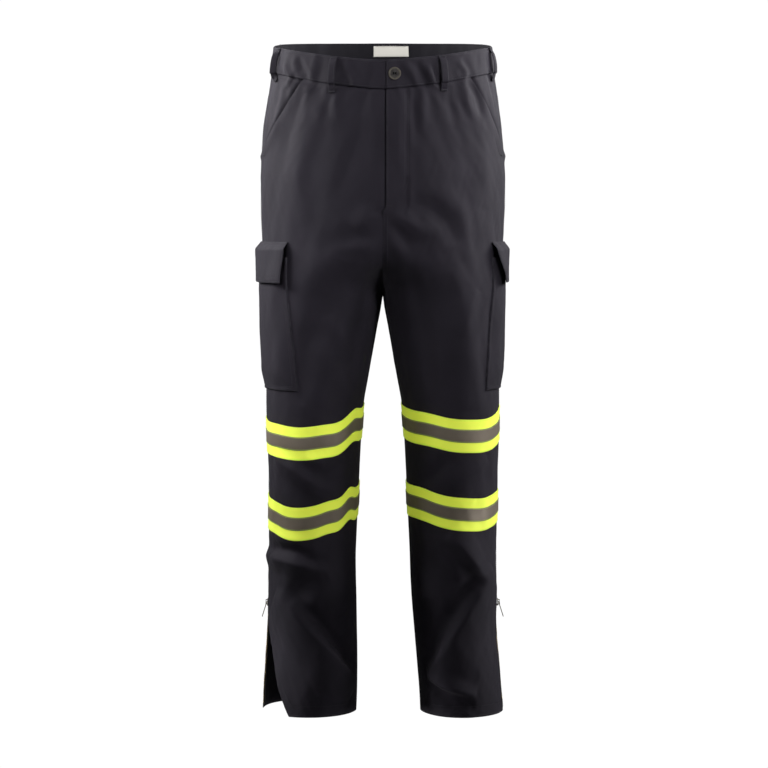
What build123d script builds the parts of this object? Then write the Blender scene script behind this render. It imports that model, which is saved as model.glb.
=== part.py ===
"""Bunker pants: twill over-trousers with cargo pockets, reflective tape round both knees and a zip at each hem.

Millimetres. +Z is up, the front of the trousers faces -Y and the wearer's left side is +X. The origin is the centre
of the waist opening, at the height of the waistband's top edge at the side seams.
Every layer follows one family of elliptical sections. Below the crotch a section is one leg's whole tube. Above
it, the ellipse reaches past the middle plane and is trimmed there, so that the two sides meet at the centre seams.
A layer's offset is its distance outside the twill's outer face, so what lies inside has a negative offset.
"""
from build123d import *
import math
import os
from collections import namedtuple

# ------------------------------------------------------------------ driving dimensions
TWILL = 1.5                 # one layer of the body cloth
SEAM_GAP = 0.15             # each panel stops this far from its seam line
WAIST_SLOPE = 9.4           # degrees: the waistband stands higher at the back than at the front
WAIST_TOP = -2.7            # height of the waistband's top edge on the axis
BAND_HEIGHT = 42.5
FLY_X = 6.0                 # the overlapping front edge, just left of the middle
FLY_STITCH_X = 38.0
FLY_BOTTOM = -243.0
CROTCH_Z = -360.0
HEM_Z = -1024.0
KNEE_Z = -653.0             # between the two reflective bands
KNEE_Y = -20.0
KNEE_HALF = 105.0           # the cloth that bends reaches this far above and below the knee's axis
TAPE_WIDTH = 50.8
SILVER_WIDTH = 19.0
TAPE_PLANES = {             # each tape's middle, and degrees down to the outer side and to the front
    "left": {"upper": (-571.0, 0.6, 9.9), "lower": (-694.5, 4.5, 8.2)},
    "right": {"upper": (-580.0, 7.5, 10.6), "lower": (-700.0, 8.1, 13.6)}}
VENT_TOP = -845.0
VENT_HALF = 6.0             # from the zip's centre line to each folded edge
VENT_OPENING = {"left": 5.0, "right": 57.0}     # how far the front edge leans forward at the hem
LOOP_WIDTH = 11.0
LOOP_LENGTH = 54.0
LOOP_GAP = 8.0
FLAP_TOP = -297.0
FLAP_HEIGHT = 62.0
POCKET_TOP = -320.0
POCKET_BOTTOM = -524.0
POCKET_DEPTH = 8.0
POCKET_WALL = 1.2
CLOSURE_LENGTH = 114.0
POCKET_SPAN = {"left": (-72.0, 126.0), "right": (-109.0, 89.0)}     # arc lengths from the side seam, front to back
BUTTON_RADIUS = 9.2
WIDE = 900.0                # larger than the trousers, for cutting blocks

Section = namedtuple("Section", "z inner outer front back")
SECTIONS = [                # inner is negative where the ellipse reaches past the middle plane
    Section(40, -163, 163, -119, 121),
    Section(0, -167, 167, -122, 122),           # waist
    Section(-42, -173, 173, -127, 130),
    Section(-110, -184, 184, -137, 148),
    Section(-190, -188, 189, -141, 160),        # seat
    Section(-250, -168, 188, -139, 162),
    Section(-300, -126, 186, -133, 155),
    Section(-320, -82, 185, -128, 149),
    Section(-335, -46, 184.5, -123, 144),
    Section(-350, -14, 184.2, -118, 137),
    Section(CROTCH_Z, 0.6, 184, -115, 133),
    Section(-383, 1.5, 183.5, -112, 127),
    Section(-434, 10, 182, -106, 117),
    Section(-496, 21, 180.5, -101, 106),
    Section(-542, 29.5, 180.5, -98, 99),
    Section(-600, 33.5, 179.5, -94, 90),
    Section(KNEE_Z, 36, 178, -90, 86),
    Section(-715, 39, 177.5, -85, 84),
    Section(-775, 41.8, 177, -80, 84),
    Section(VENT_TOP, 42.6, 178, -76, 85),
    Section(-930, 45.5, 183, -72, 87),
    Section(HEM_Z, 49.5, 189, -69, 89),
]


# ------------------------------------------------------------------ the section family
def ellipse_at(z):
    """Centre and half axes of the section at a height, as (cx, cy, a, b)."""
    for high, low in zip(SECTIONS, SECTIONS[1:]):
        if low.z <= z <= high.z:
            t = (high.z - z) / (high.z - low.z)
            inner, outer, front, back = (h + t * (g - h) for h, g in zip(high[1:], low[1:]))
            return (inner + outer) / 2, (front + back) / 2, (outer - inner) / 2, (back - front) / 2
    raise ValueError(f"no section at {z}")


def angle_at_x(z, x, offset):
    """Angle from the outer side, in degrees, at which a section reaches x."""
    cx, _, a, _ = ellipse_at(z)
    return math.degrees(math.acos(max(-1.0, min(1.0, (x - cx) / (a + offset)))))


def angle_at_arc(z, length):
    """Angle from the outer side after this arc length, positive towards the back."""
    _, _, a, b = ellipse_at(z)
    angle, step, left = 0.0, math.radians(0.25), abs(length)
    while left > 0:
        left -= step * math.hypot(a * math.sin(angle), b * math.cos(angle))
        angle += step
    return math.copysign(math.degrees(angle + left / b), length)


def inner_end(x_at_middle=SEAM_GAP):
    """Angle of a panel's inner edge: the middle plane above the crotch, the inseam below it."""
    def end(z, offset):
        cx, _, a, b = ellipse_at(z)
        if cx - (a + offset) < x_at_middle:
            return angle_at_x(z, x_at_middle, offset)
        return 180.0 - math.degrees(SEAM_GAP / b)
    return end


def at_seam(z, offset):
    """Angle of a panel's outer edge, just off the side seam."""
    return math.degrees(SEAM_GAP / ellipse_at(z)[3])


def by_arc(length):
    return lambda z, offset: angle_at_arc(z, length)


def by_x(x):
    return lambda z, offset: angle_at_x(z, x, offset)


def negative(end):
    return lambda z, offset: -end(z, offset)


def point_on(z, angle, offset=0.0):
    cx, cy, a, b = ellipse_at(z)
    t = math.radians(angle)
    return Vector(cx + (a + offset) * math.cos(t), cy + (b + offset) * math.sin(t), z)


def arc_face(z, inside, outside, start, end):
    """Flat face between two offsets and two angles, at one height."""
    cx, cy, a, b = ellipse_at(z)
    s0, s1 = start(z, outside), end(z, outside)
    i0, i1 = start(z, inside), end(z, inside)
    outer = EllipticalCenterArc((cx, cy), a + outside, b + outside, s0, arc_size=s1 - s0)
    inner = EllipticalCenterArc((cx, cy), a + inside, b + inside, i0, arc_size=i1 - i0)
    edges = [outer, Line(outer @ 1, inner @ 1), inner, Line(inner @ 0, outer @ 0)]
    return Pos(0, 0, z) * Face(Wire(edges))


def heights(top, bottom):
    """The given ends, and every section between them."""
    return [top] + [s.z for s in SECTIONS if bottom + 0.5 < s.z < top - 0.5] + [bottom]


def layer(top, bottom, inside, outside, start, end, extra=()):
    """One layer of cloth between two heights, two offsets and two angles. extra adds heights of its own."""
    levels = sorted(set(heights(top, bottom)) | set(extra), reverse=True)
    return loft([arc_face(z, inside, outside, start, end) for z in levels], ruled=True, clean=False)


def ring(top, bottom, inside, outside):
    """A closed tube of one leg, as four quarter layers would make, from two ruled lofts."""
    def tube(offset):
        faces = []
        for z in heights(top, bottom):
            cx, cy, a, b = ellipse_at(z)
            faces.append(Pos(cx, cy, z) * Ellipse(a + offset, b + offset))
        return loft(faces, ruled=True, clean=False)
    return tube(outside) - tube(inside)


def right_of(solid):
    """The wearer's right-hand copy of a left-hand solid."""
    return mirror(solid, about=Plane.YZ)


# ------------------------------------------------------------------ cutting blocks
def slab(top, height, slope_x=0.0, slope_y=0.0, x=0.0):
    """A wide block whose top face passes through (x, 0, top) with the given slopes in degrees."""
    return Pos(x, 0, top) * Rot(X=slope_y, Y=slope_x) * Pos(0, 0, -height / 2) * Box(WIDE, WIDE, height)


def below_waistband(gap=0.3):
    drop = BAND_HEIGHT / math.cos(math.radians(WAIST_SLOPE)) + gap
    return slab(WAIST_TOP - drop, 2 * WIDE, slope_y=WAIST_SLOPE)


def prism(points, y_low, y_high):
    """A block whose outline in the XZ plane is given."""
    face = Plane.XZ * make_face(Polyline(*points, close=True))
    return Pos(0, y_low, 0) * extrude(face, amount=-(y_high - y_low))


def slant_block(grow):
    """What the slanting hand-pocket edge cuts from the front, grown inwards along the panel."""
    top, low = (125.0 - grow, -48.0), (187.5 - grow, -163.0)
    slope = (top[0] - low[0]) / (top[1] - low[1])
    high = (top[0] + slope * 60.0, top[1] + 60.0)
    return prism([high, low, (WIDE / 2, low[1]), (WIDE / 2, high[1])], -WIDE / 2, 4.0)


# ------------------------------------------------------------------ body panels
def front_panel(middle_x):
    """The front of one side from the waistband to just above the knee, with its slanting pocket edge."""
    def end(z, offset):
        x = middle_x if z > FLY_BOTTOM else SEAM_GAP
        return inner_end(x)(z, offset)
    fly_steps = (FLY_BOTTOM + 1, FLY_BOTTOM - 6)
    sheet = layer(40, KNEE_Z + KNEE_HALF, -TWILL, 0, negative(end), negative(at_seam), fly_steps)
    return (sheet & below_waistband()) - slant_block(0)


def back_panel():
    sheet = layer(40, KNEE_Z + KNEE_HALF, -TWILL, 0, at_seam, inner_end())
    return sheet & below_waistband()


def knee_section():
    """The front and back cloth round the knee, which bends."""
    top, low = KNEE_Z + KNEE_HALF - 0.3, KNEE_Z - KNEE_HALF + 0.3
    front = layer(top, low, -TWILL, 0, negative(inner_end()), negative(at_seam))
    back = layer(top, low, -TWILL, 0, at_seam, inner_end())
    return [front, back]


def vent_block(near, far, top=VENT_TOP):
    """A block that spans, seen from the side, between two distances in front of the zip's line.

    near and far map the fraction of the way down the vent to a distance; a negative one is behind the line.
    """
    def point(z, distance):
        fraction = (VENT_TOP - z) / (VENT_TOP - HEM_Z)
        return ellipse_at(z)[1] - distance(fraction), z

    levels = (top, -930.0, HEM_Z)
    outline = [point(z, near) for z in levels] + [point(z, far) for z in reversed(levels)]
    face = Plane.YZ * make_face(Polyline(*outline, close=True))
    return Pos(110, 0, 0) * extrude(face, amount=WIDE / 2)


def shin_panel(back, opening=0.0):
    """The leg below the knee. Beside the zip its outer edge is folded back, and leans away by opening at the hem."""
    top = KNEE_Z - KNEE_HALF
    if back:
        sheet = layer(top, HEM_Z, -TWILL, 0, at_seam, inner_end())
        return sheet - vent_block(lambda t: 5.0, lambda t: -VENT_HALF)
    sheet = layer(top, HEM_Z, -TWILL, 0, negative(inner_end()), negative(at_seam))
    return sheet - vent_block(lambda t: -5.0, lambda t: VENT_HALF + opening * t)


# ------------------------------------------------------------------ waistband
def waistband(start, end, inside, outside, trim=0.0):
    drop = BAND_HEIGHT - 2 * trim
    full = layer(40, -110, inside, outside, start, end)
    return full & slab(WAIST_TOP - trim, drop, slope_y=WAIST_SLOPE)


def belt_loop(angle, offset=1.7):
    """A strap with both ends sewn down and a standing gap, at an angle round the band."""
    z = WAIST_TOP + math.tan(math.radians(WAIST_SLOPE)) * point_on(-5, angle).Y
    foot = point_on(z - BAND_HEIGHT, angle, offset)
    head = point_on(z, angle, offset)
    cx, cy, a, b = ellipse_at(z - BAND_HEIGHT / 2)
    t = math.radians(angle)
    flat = Vector(math.cos(t) / (a + offset), math.sin(t) / (b + offset), 0).normalized()
    up = (head - foot).normalized()
    normal = (flat - up * flat.dot(up)).normalized()
    frame = Plane(origin=head, x_dir=normal, z_dir=normal.cross(up))
    stand, strap = LOOP_GAP + 1.3, 1.3
    outline = Polyline((0, 0), (2.4, 0), (stand, -9), (stand, -LOOP_LENGTH + 13), (2.4, -LOOP_LENGTH), (0, -LOOP_LENGTH),
                       (0, -LOOP_LENGTH + 4), (1.1, -LOOP_LENGTH + 4), (stand - strap, -LOOP_LENGTH + 14),
                       (stand - strap, -10), (1.1, -4), (0, -4), close=True)
    side = make_face(outline)
    strap_solid = extrude(side, amount=LOOP_WIDTH / 2, both=True)
    return frame.location * strap_solid


BUTTON_X = 18.0
BUTTON_Z = WAIST_TOP + math.tan(math.radians(WAIST_SLOPE)) * -124 - BAND_HEIGHT * 0.42


def buttonhole():
    """The slot in the left waistband and its facing that the button's thread passes through."""
    return Pos(BUTTON_X + 7.0, -125, BUTTON_Z) * Box(20.0, 40.0, 3.4)


def waist_button():
    """Four-hole button on its thread shank, which is sewn to the underlap behind the left waistband."""
    seat = point_on(BUTTON_Z, -angle_at_x(BUTTON_Z, BUTTON_X, 1.5), 1.5)
    disc = Cylinder(BUTTON_RADIUS, 3.0) - Pos(0, 0, 1.3) * Cylinder(BUTTON_RADIUS - 2.0, 1.2)
    for i in range(4):
        disc -= Rot(Z=45 + 90 * i) * Pos(2.3, 0, 0) * Cylinder(0.9, 5)
    shank = Pos(0, 0, -5.1) * Cylinder(1.2, 7.3)
    face_front = Plane(origin=seat + Vector(0, -4.6, 0), x_dir=(1, -0.12, 0), z_dir=(-0.12, -1, 0))
    return face_front.location * Compound(children=[disc, shank])


# ------------------------------------------------------------------ zips, in a frame of x across, y up, z outward
ZIP_ROW = 2.4               # width of one row of teeth
ZIP_PLATE = 1.1
ZIP_GAP = 1.8               # from the zip's plane to each plate of the slider
ZIP_DEPTH = -1.2            # offset of the zip's plane from the leg


def zip_slider():
    """Slider body: two plates joined by a divider at the leading end, with a bail for the pull."""
    outline = Polyline((-4.9, -5.5), (4.9, -5.5), (4.9, -1.5), (3.9, 5.5), (-3.9, 5.5), (-4.9, -1.5), close=True)
    plate = extrude(fillet(make_face(outline).vertices(), 1.0), amount=ZIP_PLATE)
    divider = Pos(0, -4.0, 0) * Box(1.4, 2.6, 5.4)
    arch = Pos(0, 0, 4.0) * Box(2.0, 8.0, 3.2) - Pos(0, 0, 3.7) * Box(3.0, 5.8, 2.2)
    return Pos(0, 0, ZIP_GAP) * plate + Pos(0, 0, -ZIP_GAP - ZIP_PLATE) * plate + divider + arch


def zip_pull(length=24.0):
    """Pull tab hanging from its eye bar, which lies on the frame's x axis at PULL_PIVOT."""
    outline = Polyline((-3.0, -4.8), (3.0, -4.8), (3.8, -length), (-3.8, -length), close=True)
    tab = extrude(fillet(make_face(outline).vertices(), 0.9), amount=1.2)
    tab -= Pos(0, -length + 3.8, 0) * extrude(Circle(1.9), amount=1.2)
    tab = Pos(0, 0, -0.6) * tab
    arms = [Pos(side * 2.4, -2.6, 0) * Box(1.2, 6.4, 1.2) for side in (-1, 1)]
    bar = Rot(Y=90) * Cylinder(0.55, 4.0)
    return tab + arms[0] + arms[1] + bar


PULL_PIVOT = (0, 0, 3.8)    # the eye bar, in the slider's frame


def zip_frame(origin, down, outward):
    """Frame of a zip: y runs up its line, z out of the cloth."""
    up = (down * -1).normalized()
    normal = (outward - up * outward.dot(up)).normalized()
    return Plane(origin=origin, x_dir=up.cross(normal), z_dir=normal)


LEG_ZIP_TOP = point_on(VENT_TOP - 10.0, 0, ZIP_DEPTH)
LEG_ZIP_FOOT = point_on(HEM_Z + 8.0, 0, ZIP_DEPTH)
LEG_ZIP = zip_frame(LEG_ZIP_TOP, LEG_ZIP_FOOT - LEG_ZIP_TOP, Vector(1, 0, 0))
LEG_PULL_TILT = 14.0
FLY_ZIP_TOP = Vector(19.0, -121.6, -80.0)
FLY_ZIP_FOOT = Vector(19.0, -128.2, -228.0)
FLY_ZIP = zip_frame(FLY_ZIP_TOP, FLY_ZIP_FOOT - FLY_ZIP_TOP, Vector(0, -1, 0))


def leg_zip_rows(opening):
    """Tapes and rows of teeth: the back ones lie along the zip's line, and the front ones lean away by opening."""
    top, low = VENT_TOP - 4.0, HEM_Z + 5.0
    row, cloth = 1.0 + ZIP_ROW, 1.2 + ZIP_ROW + 11.0
    teeth = layer(top, low, ZIP_DEPTH - 1.0, ZIP_DEPTH + 1.0, by_arc(-90), by_arc(30))
    tape = layer(top, low, ZIP_DEPTH - 1.05, ZIP_DEPTH - 0.45, by_arc(-100), by_arc(30))
    rows = [teeth & vent_block(lambda t: -1.0, lambda t: -row),
            teeth & vent_block(lambda t: 1.0 + opening * t, lambda t: row + opening * t)]
    tapes = [tape & vent_block(lambda t: -0.2 - row, lambda t: -cloth),
             tape & vent_block(lambda t: 0.2 + row + opening * t, lambda t: cloth + opening * t)]
    return tapes, rows


def fly_zip_strips():
    length = (FLY_ZIP_FOOT - FLY_ZIP_TOP).length
    middle = -length / 2
    rows = [Pos(s * (0.9 + ZIP_ROW / 2), middle, 0) * Box(ZIP_ROW, length + 16, 2.0) for s in (-1, 1)]
    stop = Pos(0, -length - 10.0, 0) * Box(6.6, 3.0, 2.0)
    tapes = [Pos(s * (3.5 + 5.5), middle, 0) * Box(11.0, length + 16, 0.7) for s in (-1, 1)]
    return [FLY_ZIP.location * t for t in tapes], [FLY_ZIP.location * r for r in [*rows, stop]]


# ------------------------------------------------------------------ pockets
def pocket_facing():
    sheet = layer(-30, -176, -7.8, -6.3, negative(by_x(85)), negative(by_arc(1.0)))
    return (sheet & below_waistband(0.6)) & slant_block(28)


def pocket_bag():
    """A pouch behind the front panel. Its mouth is open along the slant, behind the panel's edge."""
    pouch = layer(-20, -292, -7.8, -1.8, negative(by_x(52)), negative(by_arc(9)))
    space = layer(-20, -291, -6.8, -2.8, negative(by_x(53)), negative(by_arc(10)))
    return ((pouch - space) & below_waistband(0.6)) - slant_block(28.5)


def cargo_pocket(side):
    """A bellows pocket: its face and three walls stand off the leg, and it is open at the top."""
    start, end = POCKET_SPAN[side]

    def front(add):
        return by_arc(start + add)

    def back(add):
        return by_arc(end - add)
    block = layer(POCKET_TOP, POCKET_BOTTOM, 0.3, POCKET_DEPTH, front(0), back(0))
    wall = POCKET_WALL
    space = layer(POCKET_TOP + 5, POCKET_BOTTOM + wall, -1.0, POCKET_DEPTH - wall, front(wall), back(wall))
    return block - space


FLAP_OVERHANG = 3.0
FLAP_SEAM = 6.0             # height of the sewn strip above the fold


def flap_offset(z):
    """Distance of the flap's inner face from the leg: it stands off over the pocket."""
    drop = FLAP_TOP - FLAP_SEAM - z
    return 6.2 + 4.0 * min(1.0, drop / 8.0) + 0.06 * drop


def flap_ends(side):
    start, end = POCKET_SPAN[side]
    return by_arc(start - FLAP_OVERHANG), by_arc(end + FLAP_OVERHANG)


def closure_ends(side):
    """Ends of the closure strips, centred on the pocket."""
    middle = sum(POCKET_SPAN[side]) / 2
    return by_arc(middle - CLOSURE_LENGTH / 2), by_arc(middle + CLOSURE_LENGTH / 2)


def cargo_flap(side):
    thick = 2.0
    levels = [FLAP_TOP - FLAP_SEAM - d for d in (1.0, 8.0, 20.0, 38.0, FLAP_HEIGHT - FLAP_SEAM)]
    faces = [arc_face(z, flap_offset(z), flap_offset(z) + thick, *flap_ends(side)) for z in levels]
    return loft(faces, ruled=True, clean=False)


def cargo_flap_seam(side):
    return layer(FLAP_TOP, FLAP_TOP - FLAP_SEAM, 0.3, 2.6, *flap_ends(side))


def hook_tape(side):
    """Hook strip sewn inside the flap."""
    top, low = FLAP_TOP - 34.0, FLAP_TOP - 54.0
    faces = [arc_face(z, flap_offset(z) - 1.0, flap_offset(z) - 0.2, *closure_ends(side)) for z in (top, low)]
    return loft(faces, ruled=True, clean=False)


def loop_tape(side):
    """Loop strip sewn on the pocket's face."""
    return layer(FLAP_TOP - 34.0, FLAP_TOP - 54.0, POCKET_DEPTH + 0.2, POCKET_DEPTH + 1.0, *closure_ends(side))


BACK_POCKET_X = (34.0, 150.0)
BACK_POCKET_Z = (-96.0, -236.0)


def back_pocket():
    top, low = BACK_POCKET_Z
    sheet = layer(-80, -260, 0.3, 0.3 + TWILL, at_seam, inner_end())
    x0, x1 = BACK_POCKET_X
    outline = [(x0, top), (x1, top), (x1, low + 12), (x1 - 12, low), (x0 + 12, low), (x0, low + 12)]
    return sheet & prism(outline, 20, 250)


# ------------------------------------------------------------------ reflective tape
def tape(side, place, width, inside, outside):
    """A closed band round one leg, lying in a sloping plane."""
    middle, slope_x, slope_y = TAPE_PLANES[side][place]
    reach = width + 110.0
    tube = ring(middle + reach / 2, middle - reach / 2, inside, outside)
    return tube & slab(middle + width / 2, width, slope_x=slope_x, slope_y=slope_y, x=107.0)


# ------------------------------------------------------------------ all the nodes
def solids_of(shape):
    if isinstance(shape, (list, tuple)):
        return [s for item in shape for s in solids_of(item)]
    return list(shape.solids())


def build():
    nodes = {}
    left_end = inner_end(FLY_X + SEAM_GAP)
    right_end = inner_end(-FLY_X + SEAM_GAP)

    def full_left(end):
        return negative(end), inner_end()

    nodes["waistband_left"] = waistband(*full_left(left_end), 0.0, TWILL) - buttonhole()
    nodes["waistband_right"] = right_of(waistband(*full_left(right_end), 0.0, TWILL))
    facing = [waistband(*full_left(end), -1.8, -0.4, trim=0.6) for end in (left_end, right_end)]
    nodes["waistband_facing"] = [facing[0] - buttonhole(), right_of(facing[1])]
    nodes["waist_underlap"] = waistband(negative(by_x(-14)), negative(by_x(44)), -4.4, -3.0, trim=0.8)

    back_band = layer(40, -110, -2.9, -2.1, at_seam, inner_end(-30))
    label_block = Pos(14, 120, 5.0) * Rot(X=WAIST_SLOPE) * Box(58, 60, 17)
    nodes["waist_label"] = back_band & label_block

    loops = {"front": [], "side": [], "back": []}
    z = -20.0
    loops["front"] = [belt_loop(-angle_at_x(z, 88, 0)), right_of(belt_loop(-angle_at_x(z, 75, 0)))]
    loops["side"] = [belt_loop(-15), right_of(belt_loop(-18))]
    loops["back"] = [belt_loop(26), right_of(belt_loop(22)), belt_loop(90)]
    for place, straps in loops.items():
        nodes[f"belt_loops_{place}"] = straps

    nodes["waist_button"] = waist_button()
    shield = layer(-30, FLY_BOTTOM + 2, -18.8, -17.6, negative(by_x(42)), negative(by_x(-12)))
    nodes["fly_shield"] = shield & below_waistband(0.6)
    fly_inside = layer(-30, FLY_BOTTOM + 4, -3.0, -1.8, negative(by_x(8)), negative(by_x(FLY_STITCH_X)))
    nodes["fly_facing"] = fly_inside & below_waistband(0.6)
    nodes["fly_zip_tapes"], nodes["fly_zip_teeth"] = fly_zip_strips()
    nodes["fly_zip_slider"] = FLY_ZIP.location * zip_slider()
    nodes["fly_zip_pull"] = FLY_ZIP.location * Pos(*PULL_PIVOT) * zip_pull(16.0)

    nodes["front_panel_left"] = front_panel(FLY_X + SEAM_GAP)
    nodes["front_panel_right"] = right_of(front_panel(-FLY_X + SEAM_GAP))
    for side in ("left", "right"):
        turn = right_of if side == "right" else (lambda s: s)
        both = lambda made: [turn(s) for s in solids_of(made)]
        opening = VENT_OPENING[side]
        nodes[f"back_panel_{side}"] = both(back_panel())
        nodes[f"knee_section_{side}"] = both(knee_section())
        nodes[f"shin_front_{side}"] = both(shin_panel(back=False, opening=opening))
        nodes[f"shin_back_{side}"] = both(shin_panel(back=True))
        nodes[f"pocket_facing_{side}"] = both(pocket_facing())
        nodes[f"pocket_bag_{side}"] = both(pocket_bag())
        nodes[f"back_pocket_{side}"] = both(back_pocket())
        nodes[f"cargo_pocket_{side}"] = both(cargo_pocket(side))
        nodes[f"cargo_flap_{side}"] = both(cargo_flap(side))
        nodes[f"cargo_flap_seam_{side}"] = both(cargo_flap_seam(side))
        nodes[f"cargo_hook_tape_{side}"] = both(hook_tape(side))
        nodes[f"cargo_loop_tape_{side}"] = both(loop_tape(side))
        for place in TAPE_PLANES[side]:
            nodes[f"{place}_tape_{side}"] = both(tape(side, place, TAPE_WIDTH, 0.5, 1.4))
            nodes[f"{place}_silver_{side}"] = both(tape(side, place, SILVER_WIDTH, 1.7, 2.3))
        tapes, rows = leg_zip_rows(opening)
        nodes[f"leg_zip_tapes_{side}"] = both(tapes)
        nodes[f"leg_zip_teeth_{side}"] = both(rows)
        nodes[f"leg_zip_slider_{side}"] = both(LEG_ZIP.location * zip_slider())
        nodes[f"leg_zip_pull_{side}"] = both(LEG_ZIP.location * Pos(*PULL_PIVOT) * Rot(X=-LEG_PULL_TILT) * zip_pull())
    return nodes


def main():
    os.makedirs("parts", exist_ok=True)
    for name, shape in build().items():
        export_step(Compound(children=solids_of(shape)), f"parts/{name}.step")


main()
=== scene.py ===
"""Bunker pants: cloth, seams, tape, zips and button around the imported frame.

Millimetres inside the surface functions, metres in the meshes. Every layer of cloth lies on one family of
elliptical sections, and all layers at a place share the same folds, so that they stay stacked.
s is the distance round a leg from its side seam, in millimetres: negative towards the front, positive
towards the back. off is the distance outside the body cloth's outer face.
"""
import math

import bmesh
import bpy
import numpy as np
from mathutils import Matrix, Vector


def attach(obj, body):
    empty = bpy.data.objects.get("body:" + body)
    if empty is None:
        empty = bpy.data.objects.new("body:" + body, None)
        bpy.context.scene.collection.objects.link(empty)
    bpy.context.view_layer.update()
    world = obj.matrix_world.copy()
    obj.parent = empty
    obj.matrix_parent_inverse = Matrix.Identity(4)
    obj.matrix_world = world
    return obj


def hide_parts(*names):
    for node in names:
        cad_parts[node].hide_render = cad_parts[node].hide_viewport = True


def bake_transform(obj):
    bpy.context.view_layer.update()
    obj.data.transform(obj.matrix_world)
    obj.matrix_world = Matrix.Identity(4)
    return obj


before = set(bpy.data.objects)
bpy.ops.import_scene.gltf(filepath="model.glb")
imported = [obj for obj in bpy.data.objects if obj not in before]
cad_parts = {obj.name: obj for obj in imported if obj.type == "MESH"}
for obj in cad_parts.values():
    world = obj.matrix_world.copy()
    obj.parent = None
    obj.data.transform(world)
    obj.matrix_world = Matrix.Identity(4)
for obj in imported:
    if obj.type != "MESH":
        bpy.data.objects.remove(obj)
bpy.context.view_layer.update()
MM = 0.001
SIDES = {"left": 1, "right": -1}

# ------------------------------------------------------------------ dimensions
TWILL = 1.2
WAIST_TAN = math.tan(math.radians(9.4))
WAIST_TOP = -2.7
BAND_HEIGHT = 42.5
MIDDLE_RISE = 2.8                       # how far the waist stands above its sloping plane
SIDE_RISE = 7.1                         # and how much further at the side seams
BAND_OFF, BAND_THICK = 2.0, 2.0
PANEL_TOP = -60                         # the panels' first row, behind the waistband
BAND_STITCH = (2.6, 39.9)
BAND_LAP = {"left": 5.5, "right": -8.0}         # where each half of the waistband ends, across the front
FLY_LAP = {"left": 5.5, "right": -13.0}         # and each front panel below it
FLY_BOTTOM = -243.0
FLY_STITCH = 38.0
CROTCH_Z = -360.0
HEM_Z, HEM_TURN = -1024.0, 17.0
HEM_SPREAD = {"left": -9.0, "right": 8.5}       # how far the inner side of the hem spreads inwards
SPREAD_TOP, SPREAD_REACH = -770.0, 250.0        # where that spread starts, and the height it grows over
LEG_MIDDLE = 107.0
VENT_TOP, VENT_HALF = -845.0, 6.0
VENT_OPENING = {"left": 5.0, "right": 66.0}
SLANT_TOP, SLANT_LOW = -48.0, -163.0              # the hand pockets' slanting edges
SLANT_START, SLANT_END = {"left": 134.0, "right": 119.0}, 187.5
SLANT_BOW = {"left": 4.5, "right": 3.5}
BACK_X, BACK_Z = (34.0, 150.0), (-96.0, -236.0)     # the back pockets
FLAP_TOP, FLAP_HEIGHT, FLAP_OVERHANG = -292.5, 62.0, 3.0
FLAP_RUN_BACK = {"left": 22.0, "right": 4.0}    # how far the flap's front edge runs back as it hangs
FLAP_CORNER = {"left": 6.0, "right": 3.4}       # how far the flap's free corners stand off
POCKET_TOP, POCKET_BOTTOM, POCKET_DEPTH = -316.0, -519.5, 8.0
POCKET_SPAN = {"left": (-72.0, 126.0), "right": (-109.0, 89.0)}
POCKET_LEAN = {"left": 5.0, "right": 4.5}       # how much further in the front edge comes down at the bottom
SEAM_ROWS = (2.0, 7.6)                  # distances of the two rows of stitching from the side seam
MIDDLE_ROWS = (2.0, 7.5)                # and from the seams at the middle
TAPE_WIDTH, SILVER_WIDTH = 50.8, 20.4
TAPES = {       # middle, slopes in degrees, and dips and rises as (angle, width in degrees, height)
    ("left", "upper"): (-571.0, 0.6, 9.9, [(-45, 24, -4.0), (-118, 28, 7.0), (-163, 26, 4.0)]),
    ("left", "lower"): (-694.5, 4.5, 8.2, [(-45, 20, -2.0), (-132, 28, 6.5)]),
    ("right", "upper"): (-580.0, 7.5, 10.6, [(-146, 14, 8.5), (-45, 25, 3.0), (-118, 12, -2.0)]),
    ("right", "lower"): (-700.0, 8.1, 13.6, [(-143, 12, 10.5), (-32, 22, 4.5), (-112, 14, 3.0)])}
ZIP_DEPTH, TOOTH_PITCH = -1.2, 2.2
FLY_TOP, FLY_FOOT = np.array((19.0, -121.6, -80.0)), np.array((19.0, -128.2, -228.0))
SECTIONS = np.array([       # height, inner, outer, front and back of one leg's ellipse
    (40, -163, 163, -119, 121), (0, -167, 167, -122, 122), (-42, -173, 173, -127, 130),
    (-110, -184, 184, -137, 148), (-190, -188, 189, -141, 160), (-250, -168, 188, -139, 162),
    (-300, -126, 186, -133, 155), (-320, -82, 185, -128, 149), (-335, -46, 184.5, -123, 144),
    (-350, -16, 184.2, -118, 137), (-364, -4, 184, -115, 133),
    (-378, 0.8, 183.6, -112.5, 128.5), (-392, 2.0, 183.3, -111, 125),
    (-434, 10, 182, -106, 117), (-496, 21, 180.5, -101, 106), (-542, 29.5, 180.5, -98, 99),
    (-600, 33.5, 179.5, -94, 90), (-653, 36, 178, -90, 86), (-715, 39, 177.5, -85, 84),
    (-775, 41.8, 177, -80, 84), (-845, 42.6, 178, -76, 85), (-930, 45.5, 183, -72, 87),
    (-1024, 49.5, 189, -69, 89)], float)[::-1]


# ------------------------------------------------------------------ the section family
Z_LOW, Z_HIGH = -1080, 80
Z_GRID = np.arange(Z_LOW, Z_HIGH + 1.0)


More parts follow.
